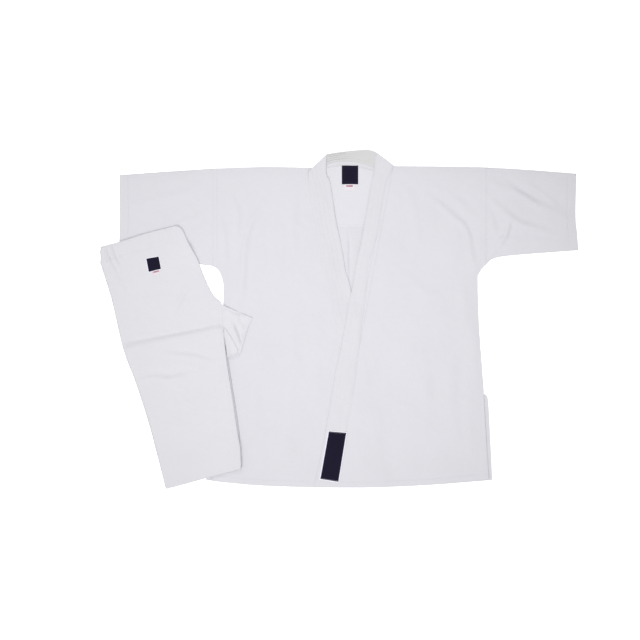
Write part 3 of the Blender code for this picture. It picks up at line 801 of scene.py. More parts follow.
# ------------------------------------------------------------------ jacket: back and lining
back_loop = outline([
    [(-30, 368), (20, 374), (85, 360)], [(85, 360), (127, 360.5), (SEAM_L, 357.6)],
    [(SEAM_L, 357.6), (SEAM_L, 131)],
    [(SEAM_L, 131), (338.0, 124.5), (327.5, 108), (324.5, 95), (326.5, 9), (331.5, -70), (339.5, -175)],
    [(339.5, -175), (344, -176.5)], [(344, -176.5), (350.5, -192), (356, -290), (360.4, -378.5)],
    [(360.4, -378.5), (209, -390.5), (68, -396.3), (-61, -396), (-182, -392), (-268, -384.5), (-315, -378.5)],
    [(-315, -378.5), (-303, -250), (-290, -190), (-284.5, -175)],
    [(-284.5, -175), (-276.5, -70), (-272.6, 40), (-272.6, 79), (-276.6, 101), (-285.6, 118), (SEAM_R, 127.2)],
    [(SEAM_R, 127.2), (SEAM_R, 354.6)], [(SEAM_R, 354.6), (-174, 358.6), (-62, 356.6)],
    [(-62, 356.6), (-30, 368)]], 4.0)
back_hem = offset([(-313, -378.5), (-268, -384.5), (-182, -392), (-61, -396), (68, -396.3), (209, -390.5), (359, -378.5)], 13)
centre_seam = [np.array([(18.2, 372), (18.2, -394)]), np.array([(24.6, 372), (24.6, -394)])]
ob, a = cloth("jacket_back_panels", back_loop, lambda x, y: read(BACK, x, y), 1.1, 6.5,
              lines=[cut(back_hem, 2, 2)] + centre_seam, seed=11)
put(ob, "jacket", ("back_panel_left", "back_panel_right"), (0.68, 0.775), a, M_BODY)

lin_loop = outline([
    [(-34, 367), (20, 373.5), (88, 359)], [(88, 359), (115, 352), (115, 300)], [(115, 300), (95, 219)],
    [(95, 219), (20, 218), (-62, 219)], [(-62, 219), (-66, 300), (-60, 352)], [(-60, 352), (-34, 367)]], 3.5)
lin_hem = np.array([(-60, 224.5), (20, 223.5), (94, 224.5)])
LIN = lambda x, y: read(LINING, x, y) - 0.45 * (1 - sm((y - 219) / 9))
ob, a = cloth("shoulder_lining", lin_loop, LIN, 0.6, 3.2, lines=[lin_hem], seed=12)
put(ob, "jacket", ("back_yoke_lining",), (0.18, 0.155), a, M_LINING)

# ------------------------------------------------------------------ jacket: under front and its lapel
SLEEVE_TOP_R, SLEEVE_TOP_L = 11.0, 11.0
rf_loop = outline([
    [(-68, 357.6), (-174, 359.4), (SEAM_R, 355.4)], [(SEAM_R, 355.4), (SEAM_R, 126.6)],
    [(SEAM_R, 126.6), (-286, 118), (-277, 101), (-273, 79), (-273, 40), (-277, -70), (-284.5, -175)],
    [(-284.5, -175), (-290, -240), (-298.5, -379)],
    [(-298.5, -379), (-268, -384), (-182, -391.5), (-61, -395.5), (62, -395.5)],
    [(62, -395.5), (-19, 65), (-34, 115), (-44, 171), (-54, 219), (-61, 260), (-70, 322), (-68, 357.6)]], 4.0)
hem_r = cut(offset([(-298.5, -379), (-268, -384), (-182, -391.5), (-61, -395.5), (60, -395.5)], 13), 3, 4)
seam_r1 = np.array([(SEAM_R + 1.6, 353), (SEAM_R + 1.6, 129)])
seam_r2 = np.array([(SEAM_R + SLEEVE_TOP_R, 353), (SEAM_R + SLEEVE_TOP_R, 122)])
vent_r = cut(offset([(-298.5, -377), (-290, -240), (-284.5, -177)], -9), 14, 2)


def felled(x, lo, hi, h=0.45):
    return h * sm((x - lo) / 1.2) * (1 - sm((x - hi + 1.2) / 1.2))


def front_r(x, y):
    hem = 0.5 * (1 - sm((near(HEM, x, y)[0] - 12.2) / 1.4))
    return read(FRONT, x, y) + felled(x, SEAM_R, SEAM_R + SLEEVE_TOP_R) + hem


ob, a = cloth("right_front_cloth", rf_loop, front_r, 1.15, 4.6, lines=[hem_r, seam_r1, seam_r2, vent_r], seed=13)
put(ob, "jacket", ("right_front_panel",), (0.37, 0.757), a, M_BODY)

ul_loop = outline([
    [(110, -395), (58, -395.3)], [(58, -395.3), (-22, 65), (-37, 115), (-47, 171), (-57, 219), (-64, 260), (-73, 322), (-72, 350)],
    [(-72, 350), (-62.5, 358.3)], [(-62.5, 358.3), (-45, 374), (-31, 388.5)],
    [(-31, 388.5), (-31.5, 344), (-22.5, 322), (-13, 260), (-6, 219), (4.6, 171), (13.8, 115), (26.9, 65), (69.5, -170), (110, -395)]], 3.2)
ul_edge = smooth_line([(-31, 386), (-31.5, 344), (-22.5, 322), (-13, 260), (-6, 219), (4.6, 171), (13.8, 115), (26.9, 65), (69.5, -170), (110, -395)], 3)


def rows_from(edge, offs, a=3, b=3):
    return [cut(offset(edge, o, 3), a, b) for o in offs]


ul_rows = rows_from(ul_edge, (-2.6, -12.5, -22.5, -32.5, -42.0), 6, 5)
NECK_UP = lambda x, y: 2.7 * sm((y - 300) / 60)


def under_band(x, y):
    d, side, s, total = near(ul_edge, x, y)
    puff = 0.12 * np.sin(np.clip(d, 0, 50) / 10.0 * math.pi) ** 2
    return read(FRONT, x, y) + 0.55 - 0.25 * sm((d - 38) / 8) + puff + NECK_UP(x, y)


def under_t(x, y):
    return 2.0 - 0.85 * sm((near(ul_edge, x, y)[0] - 40) / 8)


ob, a = cloth("under_lapel_band", ul_loop, under_band, under_t, 3.6, lines=ul_rows, seed=14)
put(ob, "jacket", ("right_lapel_band",), (0.075, 0.80), a, M_BAND)

# ------------------------------------------------------------------ jacket: over front, one cloth from lapel to side seam
lf_loop = outline([
    [(124, 361.6), (235, 360.6), (SEAM_L, 358.4)], [(SEAM_L, 358.4), (SEAM_L, 130.2)],
    [(SEAM_L, 130.2), (338.5, 124), (328, 108), (325, 95), (327, 9), (332, -70), (340, -175)],
    [(340, -175), (342.5, -230), (352, -376.5)],
    [(352, -376.5), (209, -390), (68, -396), (-9, -396)],
    [(-9, -396), (-6.5, -381), (14.5, -249), (24, -199), (33.5, -147), (45.5, -39), (57, 46), (65.5, 133),
     (89, 212), (97.5, 282), (110, 330), (124, 361.6)]], 4.0)
hem_l = cut(offset([(-4, -396), (68, -396), (209, -390), (352, -376.5)], 13), 6, 3)
seam_l1 = np.array([(SEAM_L - 1.6, 356), (SEAM_L - 1.6, 133)])
seam_l2 = np.array([(SEAM_L - SLEEVE_TOP_L, 356), (SEAM_L - SLEEVE_TOP_L, 128)])
vent_l = cut(offset([(340, -178), (342.5, -230), (352, -374)], -9), 2, 14)


def front_l(x, y):
    hem = 0.5 * (1 - sm((near(HEM, x, y)[0] - 12.2) / 1.4))
    return read(OVER, x, y) + felled(x, SEAM_L - SLEEVE_TOP_L, SEAM_L) + hem


ob, a = cloth("left_front_cloth", lf_loop, front_l, 1.15, 4.4, lines=[hem_l, seam_l1, seam_l2, vent_l], seed=15)
put(ob, "flap", ("left_front_flap", "left_front_side_panel"), (0.365, 0.758), a,
    M_BODY)

ol_edge_pts = V_OVER
ol_loop = outline([
    V_OVER, [(-60.5, -396), (-6.0, -396)],
    [(-6.0, -396), (-3.0, -381), (18, -249), (27.5, -199), (37, -147), (49, -39), (60.5, 46), (69, 133), (92.5, 212),
     (101, 282), (113.5, 330), (127, 362.5)],
    [(127, 362.5), (108, 377.5), (86.5, 393.5)]], 3.2)
ol_edge = smooth_line(V_OVER, 3)
ol_seam = smooth_line([(-6.0, -396), (-3.0, -381), (18, -249), (27.5, -199), (37, -147), (49, -39), (60.5, 46),
                       (69, 133), (92.5, 212), (101, 282), (113.5, 330), (127, 362.5)], 4)
ol_rows = rows_from(ol_edge, (2.6, 12.5, 22.5, 32.5, 42.5), 14, 4)
ol_rows = [r[inside(ol_loop, r[:, 0], r[:, 1])] for r in ol_rows]


def over_band(x, y):
    d, side, s, total = near(ol_edge, x, y)
    puff = 0.12 * np.sin(np.clip(d, 0, 52) / 10.0 * math.pi) ** 2
    e = near(ol_seam, x, y)[0]
    return read(OVER, x, y) + 0.75 - 0.35 * (1 - sm(e / 7)) + puff + 1.6 * sm((y - 330) / 40)


def over_t(x, y):
    return 2.1 - 0.95 * (1 - sm(near(ol_seam, x, y)[0] / 7))


ob, a = cloth("over_lapel_band", ol_loop, over_band, over_t, 3.6, lines=ol_rows, seed=16)
put(ob, "flap", ("left_lapel_band", "left_lapel_band_upper"), (0.07, 0.83), a,
    M_BAND)

# ------------------------------------------------------------------ back of the neck
seam_pts = smooth_line([(-31, 369), (-10, 374.5), (20, 376), (52, 372.5), (86.5, 361)], 2.4)
n_c = len(seam_pts)
top_pts = smooth_line([(-30, 389.2), (5, 394.5), (40, 398), (70, 399), (86.5, 393.2)], 2.4)
top_pts = np.stack([np.interp(np.linspace(0, 1, n_c), np.linspace(0, 1, len(top_pts)), top_pts[:, k]) for k in (0, 1)], 1)
pv = np.linspace(-0.12, 1.0, 36)
pz = np.interp(pv, [-0.12, 0.0, 0.15, 0.35, 0.55, 0.75, 0.88, 0.96, 1.0], [3.2, 3.5, 4.1, 5.0, 5.9, 6.7, 7.2, 7.3, 6.8])
for row in (0.16, 0.42, 0.66, 0.86):
    pz = pz - 0.75 * np.exp(-((pv - row) / 0.042) ** 2)
prof = np.column_stack([pv, pz])
col = []
for i in range(n_c):
    k = i / (n_c - 1)
    ripple = 0.35 * math.sin(k * 9 + 0.6) + 0.2 * math.sin(k * 23)
    row = []
    for v, z in prof:
        p = seam_pts[i] * (1 - v) + top_pts[i] * v
        row.append((p[0], p[1], z + ripple * min(max(v, 0), 1) * 0.6))
    col.append(row)
# The band takes the darker collar canvas, which is painted shade for its upright inner face.
ob, a = grid_sheet("back_neck_band", np.array(col), 2.1)
put(ob, "jacket", ("back_neck_collar",), (0.127, 0.032), a, M_COLLAR_SHADE)

# The outer side of the collar lies on the table behind it, and turns up at its ends.
turn_loop = outline([
    [(-62, 357), (-45, 373.5), (-29, 388.5)], [(-29, 388.5), (5, 393.5), (40, 397), (70, 397.8), (86, 392.5)],
    [(86, 392.5), (108, 377), (126.5, 362)], [(126.5, 362), (86, 352), (20, 364), (-30, 358), (-62, 357)]], 3.5)


def outer_collar(x, y):
    return 1.9 + 1.1 * np.exp(-near(turn_loop, x, y, True)[0] / 4) + 0.1 * waves(x, y, 25, 60, 10, 71)


ob, a = cloth("collar_outside", turn_loop, outer_collar, 1.6, 4.0, seed=17)
put(ob, "jacket", (), (0.19, 0.042), a, M_BAND)

rolls = []


def seam_roll(name, line, zt, zb, rx, body, mat=M_BODY, rep=()):
    p = smooth_line(line, 4)
    t, b = zt(p[:, 0], p[:, 1]), zb(p[:, 0], p[:, 1])
    ob = roll(name, np.column_stack([p, (t + b) / 2]), rx, (t - b) / 2)
    paint(ob, mat)
    if body == "flap":
        put(ob, "flap", rep)
    else:
        put(ob, body, rep)
    return ob


FTOP = lambda x, y: read(FRONT, x, y) + 0.55
BBOT = lambda x, y: read(BACK, x, y) - 0.5
seam_roll("right_shoulder_turn", [(-66, 357.2), (-174, 359.0), (SEAM_R + 1, 355.2)], FTOP, BBOT, 0.9, "jacket", rep=("right_shoulder_fold",))
seam_roll("left_shoulder_turn", [(128, 361.2), (235, 360.2), (SEAM_L - 1, 358.2)], FTOP, BBOT, 0.9, "jacket", rep=("left_shoulder_fold",))
seam_roll("right_side_felled_seam", [(SEAM_R + 1, 126.6), (-286, 118), (-277, 101), (-273, 79), (-273, 40), (-277, -70), (-284, -173)], FTOP, BBOT, 1.0, "jacket", rep=("right_side_seam",))
seam_roll("left_side_felled_seam", [(SEAM_L - 1, 130.2), (338.5, 124), (328, 108), (325, 95), (327, 9), (332, -70), (339.8, -173)], FTOP, BBOT, 1.0, "jacket", rep=("left_side_seam",))
seam_roll("collar_turn_right", [(-66, 355), (-62.3, 358.3), (-45, 374), (-31, 388.3)], lambda x, y: under_band(x, y) + 0.7, lambda x, y: 1.6 + 0 * x, 1.1, "jacket", M_BAND)
seam_roll("collar_turn_left", [(129, 360.8), (108, 377.3), (87, 392.8)], lambda x, y: over_band(x, y) + 0.7, lambda x, y: 1.6 + 0 * x, 1.1, "jacket", M_BAND)

# ------------------------------------------------------------------ sleeves
for side, X0, top_line, cuff, under, mirror in (
        ("left", SEAM_L, [(SEAM_L - 0.5, 358.4), (450, 352), (558, 343.5)], [(558, 343.5), (556, 248), (559.5, 205), (563, 164)],
         [(563, 164), (405, 151.5), (362, 143.5), (SEAM_L - 0.5, 130.2)], 1),
        ("right", SEAM_R, [(SEAM_R + 0.5, 355.4), (-410, 348), (-519, 340)], [(-519, 340), (-518, 250), (-519.5, 166)],
         [(-519.5, 166), (-400, 154), (-362, 151), (-331, 132), (SEAM_R + 0.5, 126.6)], -1)):
    loop = outline([top_line, cuff, under, [under[-1], top_line[0]]], 3.6)
    folded = [smooth_line(top_line, 3.6), smooth_line(under, 3.6)]
    c = offset(cuff, -20 * mirror if side == "left" else 20, 3)
    c = cut(c, 2, 2)
    c2 = cut(offset(cuff, -17 * mirror if side == "left" else 17, 3), 2, 2)

    def cuffed(x, y, cuff=cuff):
        return 0.5 * (1 - sm((near(cuff, x, y)[0] - 19.2) / 1.4))

    def top(x, y, cuffed=cuffed):
        return read(FRONT, x, y) + cuffed(x, y)

    def bottom(x, y, cuffed=cuffed):
        return np.maximum(read(BACK, x, y), 0.6) + 0.1
    ob, a = tube(side + "_sleeve_cloth", loop, folded, top, bottom, 1.1, 4.4, lines=[c], seed=18 + mirror)
    put(ob, side + "_sleeve", (side + "_sleeve_back", side + "_sleeve_front", side + "_sleeve_top_fold", side + "_underarm_seam"),
        (0.43, 0.235), a, M_BODY)
    st = stitches(side + "_cuff_stitching", [lift(c, FRONT, 0.5 + 0.55 - 0.2), ])
    put(st, side + "_sleeve", mat=M_THREAD)

# ------------------------------------------------------------------ labels and the patch on the lapel


def label(name, corners, height, t, mat, body, rep, flat, step=2.2, border=None):
    loop = outline([[corners[i], corners[(i + 1) % 4]] for i in range(4)], 1.6)
    ob, a = cloth(name, loop, height, t, step, rows=(0.5, 1.2), seed=31)
    put(ob, body, rep, flat, a, mat)
    if border:
        c = np.array(corners, float)
        mid = c.mean(0)
        k = lambda f: [tuple(mid + (p - mid) * f) for p in c]
        outer, inner = k(1.0), k(1 - border)
        ring = []
        for f in (1.015, 1 - border * 0.5, 1 - border):
            q = outline([[k(f)[i], k(f)[(i + 1) % 4]] for i in range(4)], 400)
            ring.append(q)
    return ob


def mark(name, corners):
    """A printed mark: the tape's faces inside the corners take the second colour."""
    me = bpy.data.objects[name].data
    me.materials.append(M_RED)
    c = np.empty(len(me.polygons) * 3)
    me.polygons.foreach_get("center", c)
    c = c.reshape(-1, 3) / MM
    me.polygons.foreach_set("material_index", inside(np.array(corners, float), c[:, 0], c[:, 1]).astype(np.int32))
    me.update()


def neck_label_z(x, y):
    return LIN(x, y) + 0.85 + 1.0 * sm((y - 345) / 20) + 0.12 * np.sin(x / 7.0)


label("neck_label_cloth", [(6, 319.5), (43.5, 319.5), (43.5, 362.5), (6, 362.5)], neck_label_z, 0.7, M_NAVY, "jacket", ("neck_label",), (0.0385, 0.0435))
label("neck_size_tape", [(10, 303.5), (37.5, 303.5), (37.5, 322), (10, 322)], lambda x, y: LIN(x, y) + 0.62, 0.4, M_SATIN, "jacket", ("neck_size_label",), (0.028, 0.019))
mark("neck_size_tape", [(16, 313.2), (31.5, 313.2), (31.5, 316.4), (16, 316.4)])
PATCH = [(-25.4, -263.2), (16.3, -266.8), (-2.3, -383), (-45.7, -375.8)]
patch_z = lambda x, y: over_band(x, y) + 1.05 + 0.42
label("lapel_patch", PATCH, patch_z, 0.9, M_NAVY, "flap", ("hem_patch",), (0.0445, 0.121))
LEG_TOP = lambda x, y: read(UP, x, y) + 4.75 + read(leg_relief, x, y)
TLAB = [(-456, 143.6), (-450.0, 111.8), (-420.6, 119.2), (-426.2, 148.8)]
label("trouser_label_cloth", TLAB, lambda x, y: LEG_TOP(x, y) + 0.5 + 0.42, 0.7, M_NAVY, "trousers", ("trousers_label",), (0.031, 0.032))
label("trouser_size_tape", [(-441.5, 114.9), (-426.0, 118.6), (-423.9, 104.8), (-439.9, 101)], lambda x, y: LEG_TOP(x, y) + 0.5 + 0.25, 0.4, M_TAPE, "trousers", ("trousers_size_label",), (0.0155, 0.0135))
mark("trouser_size_tape", [(-440.2, 113.4), (-426.2, 117.0), (-425.6, 113.0), (-439.6, 109.4)])


def frame_of(name, corners, width, height, t, mat, body):
    """A narrow woven border round a label, mitred at the corners."""
    c = np.array(corners, float)
    mid = c.mean(0)
    n = len(c)
    pts = []
    prof = [(width, -0.62), (width * 0.82, -0.12), (width * 0.45, 0.06), (0.0, 0.1), (-0.45, -0.05)]
    loop, lo_in = [], []
    for i in range(n):
        a, b, d = c[i - 1], c[i], c[(i + 1) % n]
        e1 = (b - a) / np.linalg.norm(b - a)
        e2 = (d - b) / np.linalg.norm(d - b)
        n1, n2 = np.array((e1[1], -e1[0])), np.array((e2[1], -e2[0]))
        if np.dot(n1, b - mid) < 0:
            n1 = -n1
        if np.dot(n2, b - mid) < 0:
            n2 = -n2
        m = (n1 + n2) / np.linalg.norm(n1 + n2)
        m = m / max(np.dot(m, n1), 0.3)
        loop.append((b, m))
    V, Q = [], []
    rows = []
    for i in range(n):
        (b0, m0), (b1, m1) = loop[i], loop[(i + 1) % n]
        k = max(int(np.linalg.norm(b1 - b0) / 4), 1)
        for j in range(k):
            f = j / k
            rows.append((b0 * (1 - f) + b1 * f, m0 * (1 - f) + m1 * f))
    m = len(rows)
    # Closed section: over the top and back underneath.
    sec = prof + [(-0.3, -0.5), (width * 0.8, -0.95)]
    for b, mm in rows:
        for o, z in sec:
            p = b + mm * o
            V.append((p[0], p[1], float(height(np.array([p[0]]), np.array([p[1]]))[0]) + z))
    k = len(sec)
    idx = np.arange(m * k).reshape(m, k)
    nx, ny = np.roll(idx, -1, 0), np.roll(idx, -1, 1)
    nxy = np.roll(nx, -1, 1)
    Q = np.stack([idx.ravel(), nx.ravel(), nxy.ravel(), ny.ravel()], 1)
    V = np.array(V)
    ob = make(name, V, np.zeros((0, 3), int), Q, V[:, :2], np.zeros(len(V)))
    fix_out(ob)
    put(ob, body, mat=mat)
    return ob


def fix_out(ob):
    """Turns a closed mesh's faces outwards."""
    import bmesh
    bm = bmesh.new()
    bm.from_mesh(ob.data)
    bmesh.ops.recalc_face_normals(bm, faces=bm.faces)
    if bm.calc_volume(signed=True) < 0:
        bmesh.ops.reverse_faces(bm, faces=bm.faces)
    bm.to_mesh(ob.data)
    bm.free()


frame_of("lapel_patch_border", PATCH, 1.9, lambda x, y: patch_z(x, y) + 0.45, 0.5, M_EDGE, "flap")
frame_of("trouser_label_border", TLAB, 1.5, lambda x, y: LEG_TOP(x, y) + 0.92 + 0.35, 0.5, M_EDGE, "trousers")
frame_of("neck_label_border", [(6.3, 319.8), (43.2, 319.8), (43.2, 362.2), (6.3, 362.2)], 0.8, lambda x, y: neck_label_z(x, y) + 0.35, 0.5, M_NAVY, "jacket")

# ------------------------------------------------------------------ trousers: upper legs
FA_IN, FB_IN = FOLD_A + FV * INSET, FOLD_B + FV * INSET


def w_at(along, inward):
    p = WAIST_A + WU * along + WV * inward
    return (float(p[0]), float(p[1]))


def leg_loop(dx=0.0, dy=0.0, grow=0.0, peek=0.0):
    sh = lambda pts: [(x + dx, y + dy) for x, y in pts]
    outer = sh([(-563, 133 + 2), (-551, 98), (-534, 41), (-509, -66), (-478.5, -149), (-450, -237), (-425, -330)]) + [tuple(FA_IN + FU * (0.5 - grow))]
    inner = [tuple(FB_IN - FU * (0.5 - grow))] + sh([(-234, -300), (-239, -271), (-251.5, -187), (-266.5, -94), (-271 + peek, -48), (-274 + peek, -18), (-279, 36),
                                                     (-297, 56), (-314, 88), (-330, 128), (-336, 144), (-358, 184)])
    last = (-368.5 + dx, 207.0 + dy)
    waist = [inner[-1], last, (-377.5 + dx, 217.5 + dy), (w_at(W_LEN + 1, 0.5)[0] + dx, w_at(W_LEN + 1, 0.5)[1] + dy)]
    edge = [waist[-1], (w_at(110, -1.2)[0] + dx, w_at(110, -1.2)[1] + dy), (w_at(60, 0.4)[0] + dx, w_at(60, 0.4)[1] + dy), (w_at(0, 0)[0] + dx, w_at(0, 0)[1] + dy)]
    side = [edge[-1], (-563.2 + dx, 160 + dy), (-561.5 + dx, 147 + dy), outer[0]]
    return outline([outer, [outer[-1], inner[0]], inner, waist, edge, side], 3.6), [outer, side], inner, edge


# Elastic in the casing gathers the cloth: ruffles that fade away from the waist and the side.


def ruffle(x, y):
    a = (x - WAIST_A[0]) * WU[0] + (y - WAIST_A[1]) * WU[1]
    b = (x - WAIST_A[0]) * WV[0] + (y - WAIST_A[1]) * WV[1]
    side = np.exp(-np.clip(a - 20, 0, None) / 14.0)
    fade = np.exp(-(np.clip(b - 30, 0, None) / 34.0) ** 2)
    fan = a - 0.10 * b + 1.6 * np.sin(b / 17.0)
    z = 4.8 * side * fade * (0.5 + 0.5 * np.sin(fan / 2.2 - 1.1)) ** 1.6 * sm((a + 1) / 6)
    z = z + 1.1 * side * fade * (0.5 + 0.5 * np.sin(b / 4.9 + 0.8 * np.sin(a / 5.0)))
    z = z + 0.5 * fade * (0.5 + 0.5 * np.sin(a / 4.1 + 1.2 * np.sin(b / 15.0))) * sm((36 - b) / 6)
    return z


def waist_lines():
    return [np.array([w_at(3, 34.5), w_at(60, 33.5), w_at(120, 34.8), w_at(W_LEN + 8, 35.5)]),
            np.array([w_at(4, 3.2), w_at(60, 3.6), w_at(120, 2.4), w_at(W_LEN - 6, 3.6)])]


inseam_line = smooth_line([(-236, -300), (-241, -271), (-253.5, -187), (-268.5, -94), (-274, -40), (-276, -18), (-281, 36)], 3)
LEGS = (("left", 0.5, 1.9, -1.6, -0.8, 0.35, 0.55), ("right", 3.3, 4.75, 0.0, 0.0, 0.78, 1.0))
for side, zb, zt, dx, dy, kb, kt in LEGS:
    loop, outs, inn, edge = leg_loop(dx, dy, 0.0, 4.6 if side == "left" else 0.0)
    folded = [smooth_line(l, 3.6) for l in outs] + [smooth_line(inn, 3.6)]
    lines = []
    if side == "right":
        lines = waist_lines() + [cut(offset(inn[:9], 2.4, 3), 4, 2), cut(offset(inn[:9], 9.0, 3), 4, 2)]
    t_ = lambda x, y, z=zt, k=kt: read(UP, x, y) + z + read(leg_relief, x, y) + ruffle(x, y) * k
    b_ = lambda x, y, z=zb, k=kb: read(UP, x, y) + z + read(leg_relief, x, y) + ruffle(x, y) * k
    ob, a = tube(side + "_leg_cloth", loop, folded, t_, b_, 0.95, 4.0 if side == "right" else 5.0, lines=lines, seed=41 + int(zb))
    rep = (side + "_leg_front", side + "_leg_back", "waistband_%s_half" % side, "waist_elastic_" + side)
    put(ob, "trousers", rep, (0.47, 0.62), a, M_LEG)

# ------------------------------------------------------------------ trousers: lower legs, turned under
LOWS = (("right", 0.5, 1.9, 0.0, 0.0), ("left", 3.3, 4.7, 0.6, 1.2))
for side, zb, zt, dx, dy in LOWS:
    sh = lambda pts: [(x + dx, y + dy) for x, y in pts]
    outer = [tuple(FA_IN + FU * 1.0)] + sh([(-424, -326), (-446, -237), (-474, -148)]) + [(HEM_A[0] + dx, HEM_A[1] + dy)]
    inner = [(HEM_B[0] + dx, HEM_B[1] + dy)] + sh([(-270.6, -60), (-264.7, -94), (-249.7, -187), (-237.4, -271)]) + [tuple(FB_IN - FU * 1.0)]
    loop = outline([outer, [outer[-1], inner[0]], inner, [inner[-1], outer[0]]], 4.0)
    folded = [smooth_line(outer, 4.0), smooth_line(inner, 4.0)]
    hem = cut(offset([outer[-1], inner[0]], -22, 3), 3, 3)
    t_ = lambda x, y, z=zt: read(LOW, x, y) + z
    b_ = lambda x, y, z=zb: np.maximum(read(LOW, x, y), 0.02) + z
    ob, a = tube(side + "_lower_leg_cloth", loop, folded, t_, b_, 0.95, 5.5, lines=[hem], seed=51 + int(zb))
    put(ob, "lower_legs", (side + "_lower_leg_front", side + "_lower_leg_back"), (0.47, 0.37), a, M_LEG)

# The cloth goes round the bottom fold in four nested bends.
for k, r in enumerate((0.7, 2.1, 3.5, 4.95)):
    nu = 46
    us = np.linspace(1.2, FOLD_LEN - 1.2, nu)
    phi = np.linspace(math.pi / 2, -math.pi / 2, 9 + 2 * k)
    rows = []
    for u in us:
        wob = 0.18 * math.sin(u / 13.0 + k)
        c = FOLD_A + FU * u + FV * INSET
        z0 = AXIS_Z + RISE * u / FOLD_LEN
        lean = 1.0 + 0.06 * math.sin(u / 19.0)
        row = []
        for f in phi:
            q = c - FV * (r * math.cos(f) * lean)
            row.append((q[0], q[1], z0 + (r + wob * math.cos(f)) * math.sin(f)))
        # The inner bends, hidden in the stack, run on a little way between the layers.
        for tail in ((2.2,) if k < 2 else ()):
            q = c + FV * tail
            row = [(q[0], q[1], row[0][2])] + row + [(q[0], q[1], row[-1][2])]
        rows.append(row)
    ob, a = grid_sheet("bottom_fold_bend_%d" % (k + 1), np.array(rows)[::-1], 0.95)
    paint(ob, M_LEG)
    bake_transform(ob)

# ------------------------------------------------------------------ gusset
gus_loop = outline([
    [(-280, 37), (-264.3, 28.3), (-240, 18), (-218.3, 9.4)], [(-218.3, 9.4), (-205.3, 3.1)],
    [(-205.3, 3.1), (-213.8, -13.9), (-222.1, -38.9), (-228, -60), (-232.7, -76.7)], [(-232.7, -76.7), (-237.2, -83.3)],
    [(-237.2, -83.3), (-250, -87), (-264, -89.7)], [(-264, -89.7), (-268, -60), (-275, -18), (-280, 37)]], 3.0)


gus_rim = smooth_line([(-205.3, 3.1), (-213.8, -13.9), (-222.1, -38.9), (-228, -60), (-233.5, -78), (-240, -84.5), (-250, -87), (-266, -89.7)], 3)


def gusset_z(x, y):
    base = read(UP, x, y)
    out = sm((x + 274) / 40)
    z = np.maximum(base * (1 - out) + (read(BED, x, y) + 1.0) * out, read(BED, x, y) + 1.0) + 3.4 * (1 - out) + 0.5
    z += crease(x, y, [(-256, -8), (-242, -40), (-230, -74)], 2.8, 5.0, 0.9)
    z += crease(x, y, [(-270, 24), (-249, 10), (-232, 9), (-208, 6)], 1.3, 3.6, 0.9)
    z += crease(x, y, [(-236, -6), (-226, -30), (-226, -60)], 1.4, 4.0, 0.6)
    z += 0.25 * waves(x, y, 12, 30, 14, 61)
    rim = near(gus_rim, x, y)[0]
    z += 1.5 * np.exp(-(rim / 4.0) ** 2) - 0.7 * np.exp(-((rim - 7.5) / 3.0) ** 2)
    return z


fold_loop = outline([
    [(-273.5, -18), (-262, -33), (-250.5, -51), (-239.5, -73)], [(-239.5, -73), (-243, -83)],
    [(-243, -83), (-254, -86), (-264, -88.5)], [(-264, -88.5), (-267, -60), (-273.5, -18)]], 2.6)


def fold_z(x, y):
    e = near(smooth_line([(-273.5, -18), (-262, -33), (-250.5, -51), (-239.5, -73)], 3), x, y)[0]
    return gusset_z(x, y) + 1.15 + 1.1 * np.exp(-e / 5.0)


ob, a = cloth("crotch_gusset_fold", fold_loop, fold_z, 0.95, 2.6, seed=65)
put(ob, "trousers", (), (0.035, 0.072), a, M_LEG)
gl = [cut(offset([(-278, 34), (-264.3, 26.3), (-240, 16), (-214, 5)], -3.0, 3), 3, 3)]
ob, a = cloth("crotch_gusset_cloth", gus_loop, gusset_z, 1.0, 2.8, lines=gl, seed=63)
put(ob, "trousers", ("crotch_gusset",), (0.078, 0.132), a, M_LEG)
gus2 = outline([
    [(-279, 35), (-262, 26), (-240, 15), (-220, 6)], [(-220, 6), (-209, 0)],
    [(-209, 0), (-217, -16), (-225.5, -40), (-231, -60), (-234, -74)], [(-234, -74), (-236, -86)],
    [(-236, -86), (-250, -91), (-265, -93)], [(-265, -93), (-269, -60), (-276, -18), (-279, 35)]], 3.4)


def gusset_low(x, y):
    return np.minimum(gusset_z(x, y) - 1.3, read(BED, x, y) + 0.7 + 1.6 * (1 - sm((x + 274) / 40)))


ob, a = cloth("crotch_gusset_under", gus2, gusset_low, 0.95, 4.0, seed=64)
put(ob, "trousers", (), (0.075, 0.131), a, M_LEG)

# ------------------------------------------------------------------ sewing thread
jr = [lift(l, lambda x, y: front_r(x, y) + 0.575 - 0.2, 0) for l in (hem_r, seam_r1, seam_r2, vent_r)]
put(stitches("right_front_stitching", jr), "jacket", mat=M_THREAD)
jl = [lift(l, lambda x, y: front_l(x, y) + 0.575 - 0.2, 0) for l in (hem_l, seam_l1, seam_l2, vent_l)]
put(stitches("left_front_stitching", jl), "flap", mat=M_THREAD)
put(stitches("under_lapel_stitching", [lift(l, lambda x, y: under_band(x, y) + 1.0 - 0.2, 0) for l in ul_rows]), "jacket", mat=M_THREAD)
put(stitches("over_lapel_stitching", [lift(l, lambda x, y: over_band(x, y) + 1.05 - 0.2, 0) for l in ol_rows]), "flap", mat=M_THREAD)
put(stitches("lining_stitching", [lift(lin_hem, lambda x, y: LIN(x, y) + 0.4 - 0.15, 0)]), "jacket", mat=M_THREAD)
leg_z = lambda x, y: LEG_TOP(x, y) + ruffle(x, y) + 0.475 - 0.2
loop, outs, inn, edge = leg_loop()
put(stitches("trouser_stitching", [lift(l, leg_z, 0) for l in (waist_lines() + [cut(offset(inn[:9], 2.4, 3), 4, 2), cut(offset(inn[:9], 9.0, 3), 4, 2)])]),
    "trousers", mat=M_THREAD)
put(stitches("gusset_stitching", [lift(l, lambda x, y: gusset_z(x, y) + 0.5 - 0.2, 0) for l in gl]), "trousers", mat=M_THREAD)


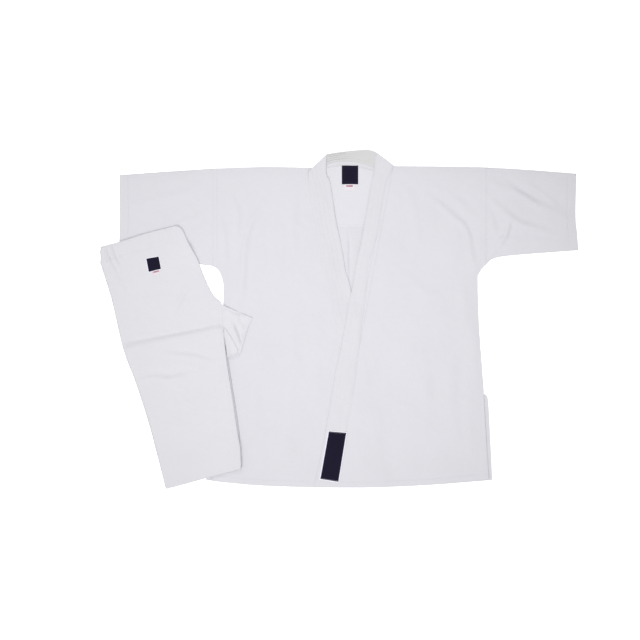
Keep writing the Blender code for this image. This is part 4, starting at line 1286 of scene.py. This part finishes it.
def inset_quad(c, d):
    c = np.array(c, float)
    mid = c.mean(0)
    r = np.linalg.norm(c - mid, axis=1).mean()
    q = mid + (c - mid) * (1 - d / r * 1.3)
    return [np.vstack([q[i], q[(i + 1) % 4]]) for i in range(4)]


put(stitches("patch_stitching", [lift(l, lambda x, y: patch_z(x, y) + 0.45 + 0.12, 0) for l in inset_quad(PATCH, 1.6)], 2.8, 2.0, 0.2, 0.16), "flap", mat=M_EDGE)

# ------------------------------------------------------------------ floor, light, camera
bpy.ops.mesh.primitive_plane_add(size=1.0)
floor = bpy.context.active_object
floor.name = "studio_floor"
floor.scale = (14, 14, 1)
floor.location = (0, 0, -0.0002)
fm = bpy.data.materials.new("pale_floor")
fm.use_nodes = True
fb = fm.node_tree.nodes["Principled BSDF"]
fb.inputs["Base Color"].default_value = (0.97, 0.97, 0.97, 1)
fb.inputs["Roughness"].default_value = 0.95
fb.inputs["Specular IOR Level"].default_value = 0.0
fb.inputs["Emission Color"].default_value = (1.0, 1.0, 1.0, 1)
fb.inputs["Emission Strength"].default_value = 0.22
floor.data.materials.append(fm)

world = bpy.data.worlds.new("studio")
bpy.context.scene.world = world
world.use_nodes = True
world.node_tree.nodes["Background"].inputs["Color"].default_value = (1.0, 1.0, 1.0, 1)
world.node_tree.nodes["Background"].inputs["Strength"].default_value = 0.45


def area_light(name, loc, target, size, power, colour=(1, 1, 1)):
    d = bpy.data.lights.new(name, "AREA")
    d.shape = "DISK"
    d.size = size
    d.energy = power
    d.color = colour
    o = bpy.data.objects.new(name, d)
    o.location = loc
    o.rotation_euler = (Vector(target) - Vector(loc)).to_track_quat("-Z", "Y").to_euler()
    o.visible_camera = False
    bpy.context.scene.collection.objects.link(o)
    return o


area_light("key", (-1.6, -3.7, 5.4), (-0.05, -0.02, 0), 2.0, 152)
area_light("back_fill", (-0.9, 4.2, 5.2), (-0.05, -0.02, 0), 2.4, 56)
spot = bpy.data.lights.new("overhead", "SPOT")
spot.energy = 3620
spot.spot_size = 2 * math.atan(1.20 / 12.0)
spot.spot_blend = 1.0
spot.shadow_soft_size = 0.5
lamp = bpy.data.objects.new("overhead", spot)
lamp.location = (-0.055, 0.06, 12.0)
bpy.context.scene.collection.objects.link(lamp)

cam_data = bpy.data.cameras.new("camera")
cam = bpy.data.objects.new("camera", cam_data)
bpy.context.scene.collection.objects.link(cam)
cam.location = (-0.04602, -0.00118, 6.0)
cam.rotation_euler = (0, 0, 0)
cam_data.sensor_width = 36.0
cam_data.lens = 36.0 * 6.0 / 1.5104
cam_data.clip_end = 50
bpy.context.scene.camera = cam
bpy.context.scene.view_settings.view_transform = "Standard"
bpy.context.scene.view_settings.look = "None"

bpy.context.view_layer.update()
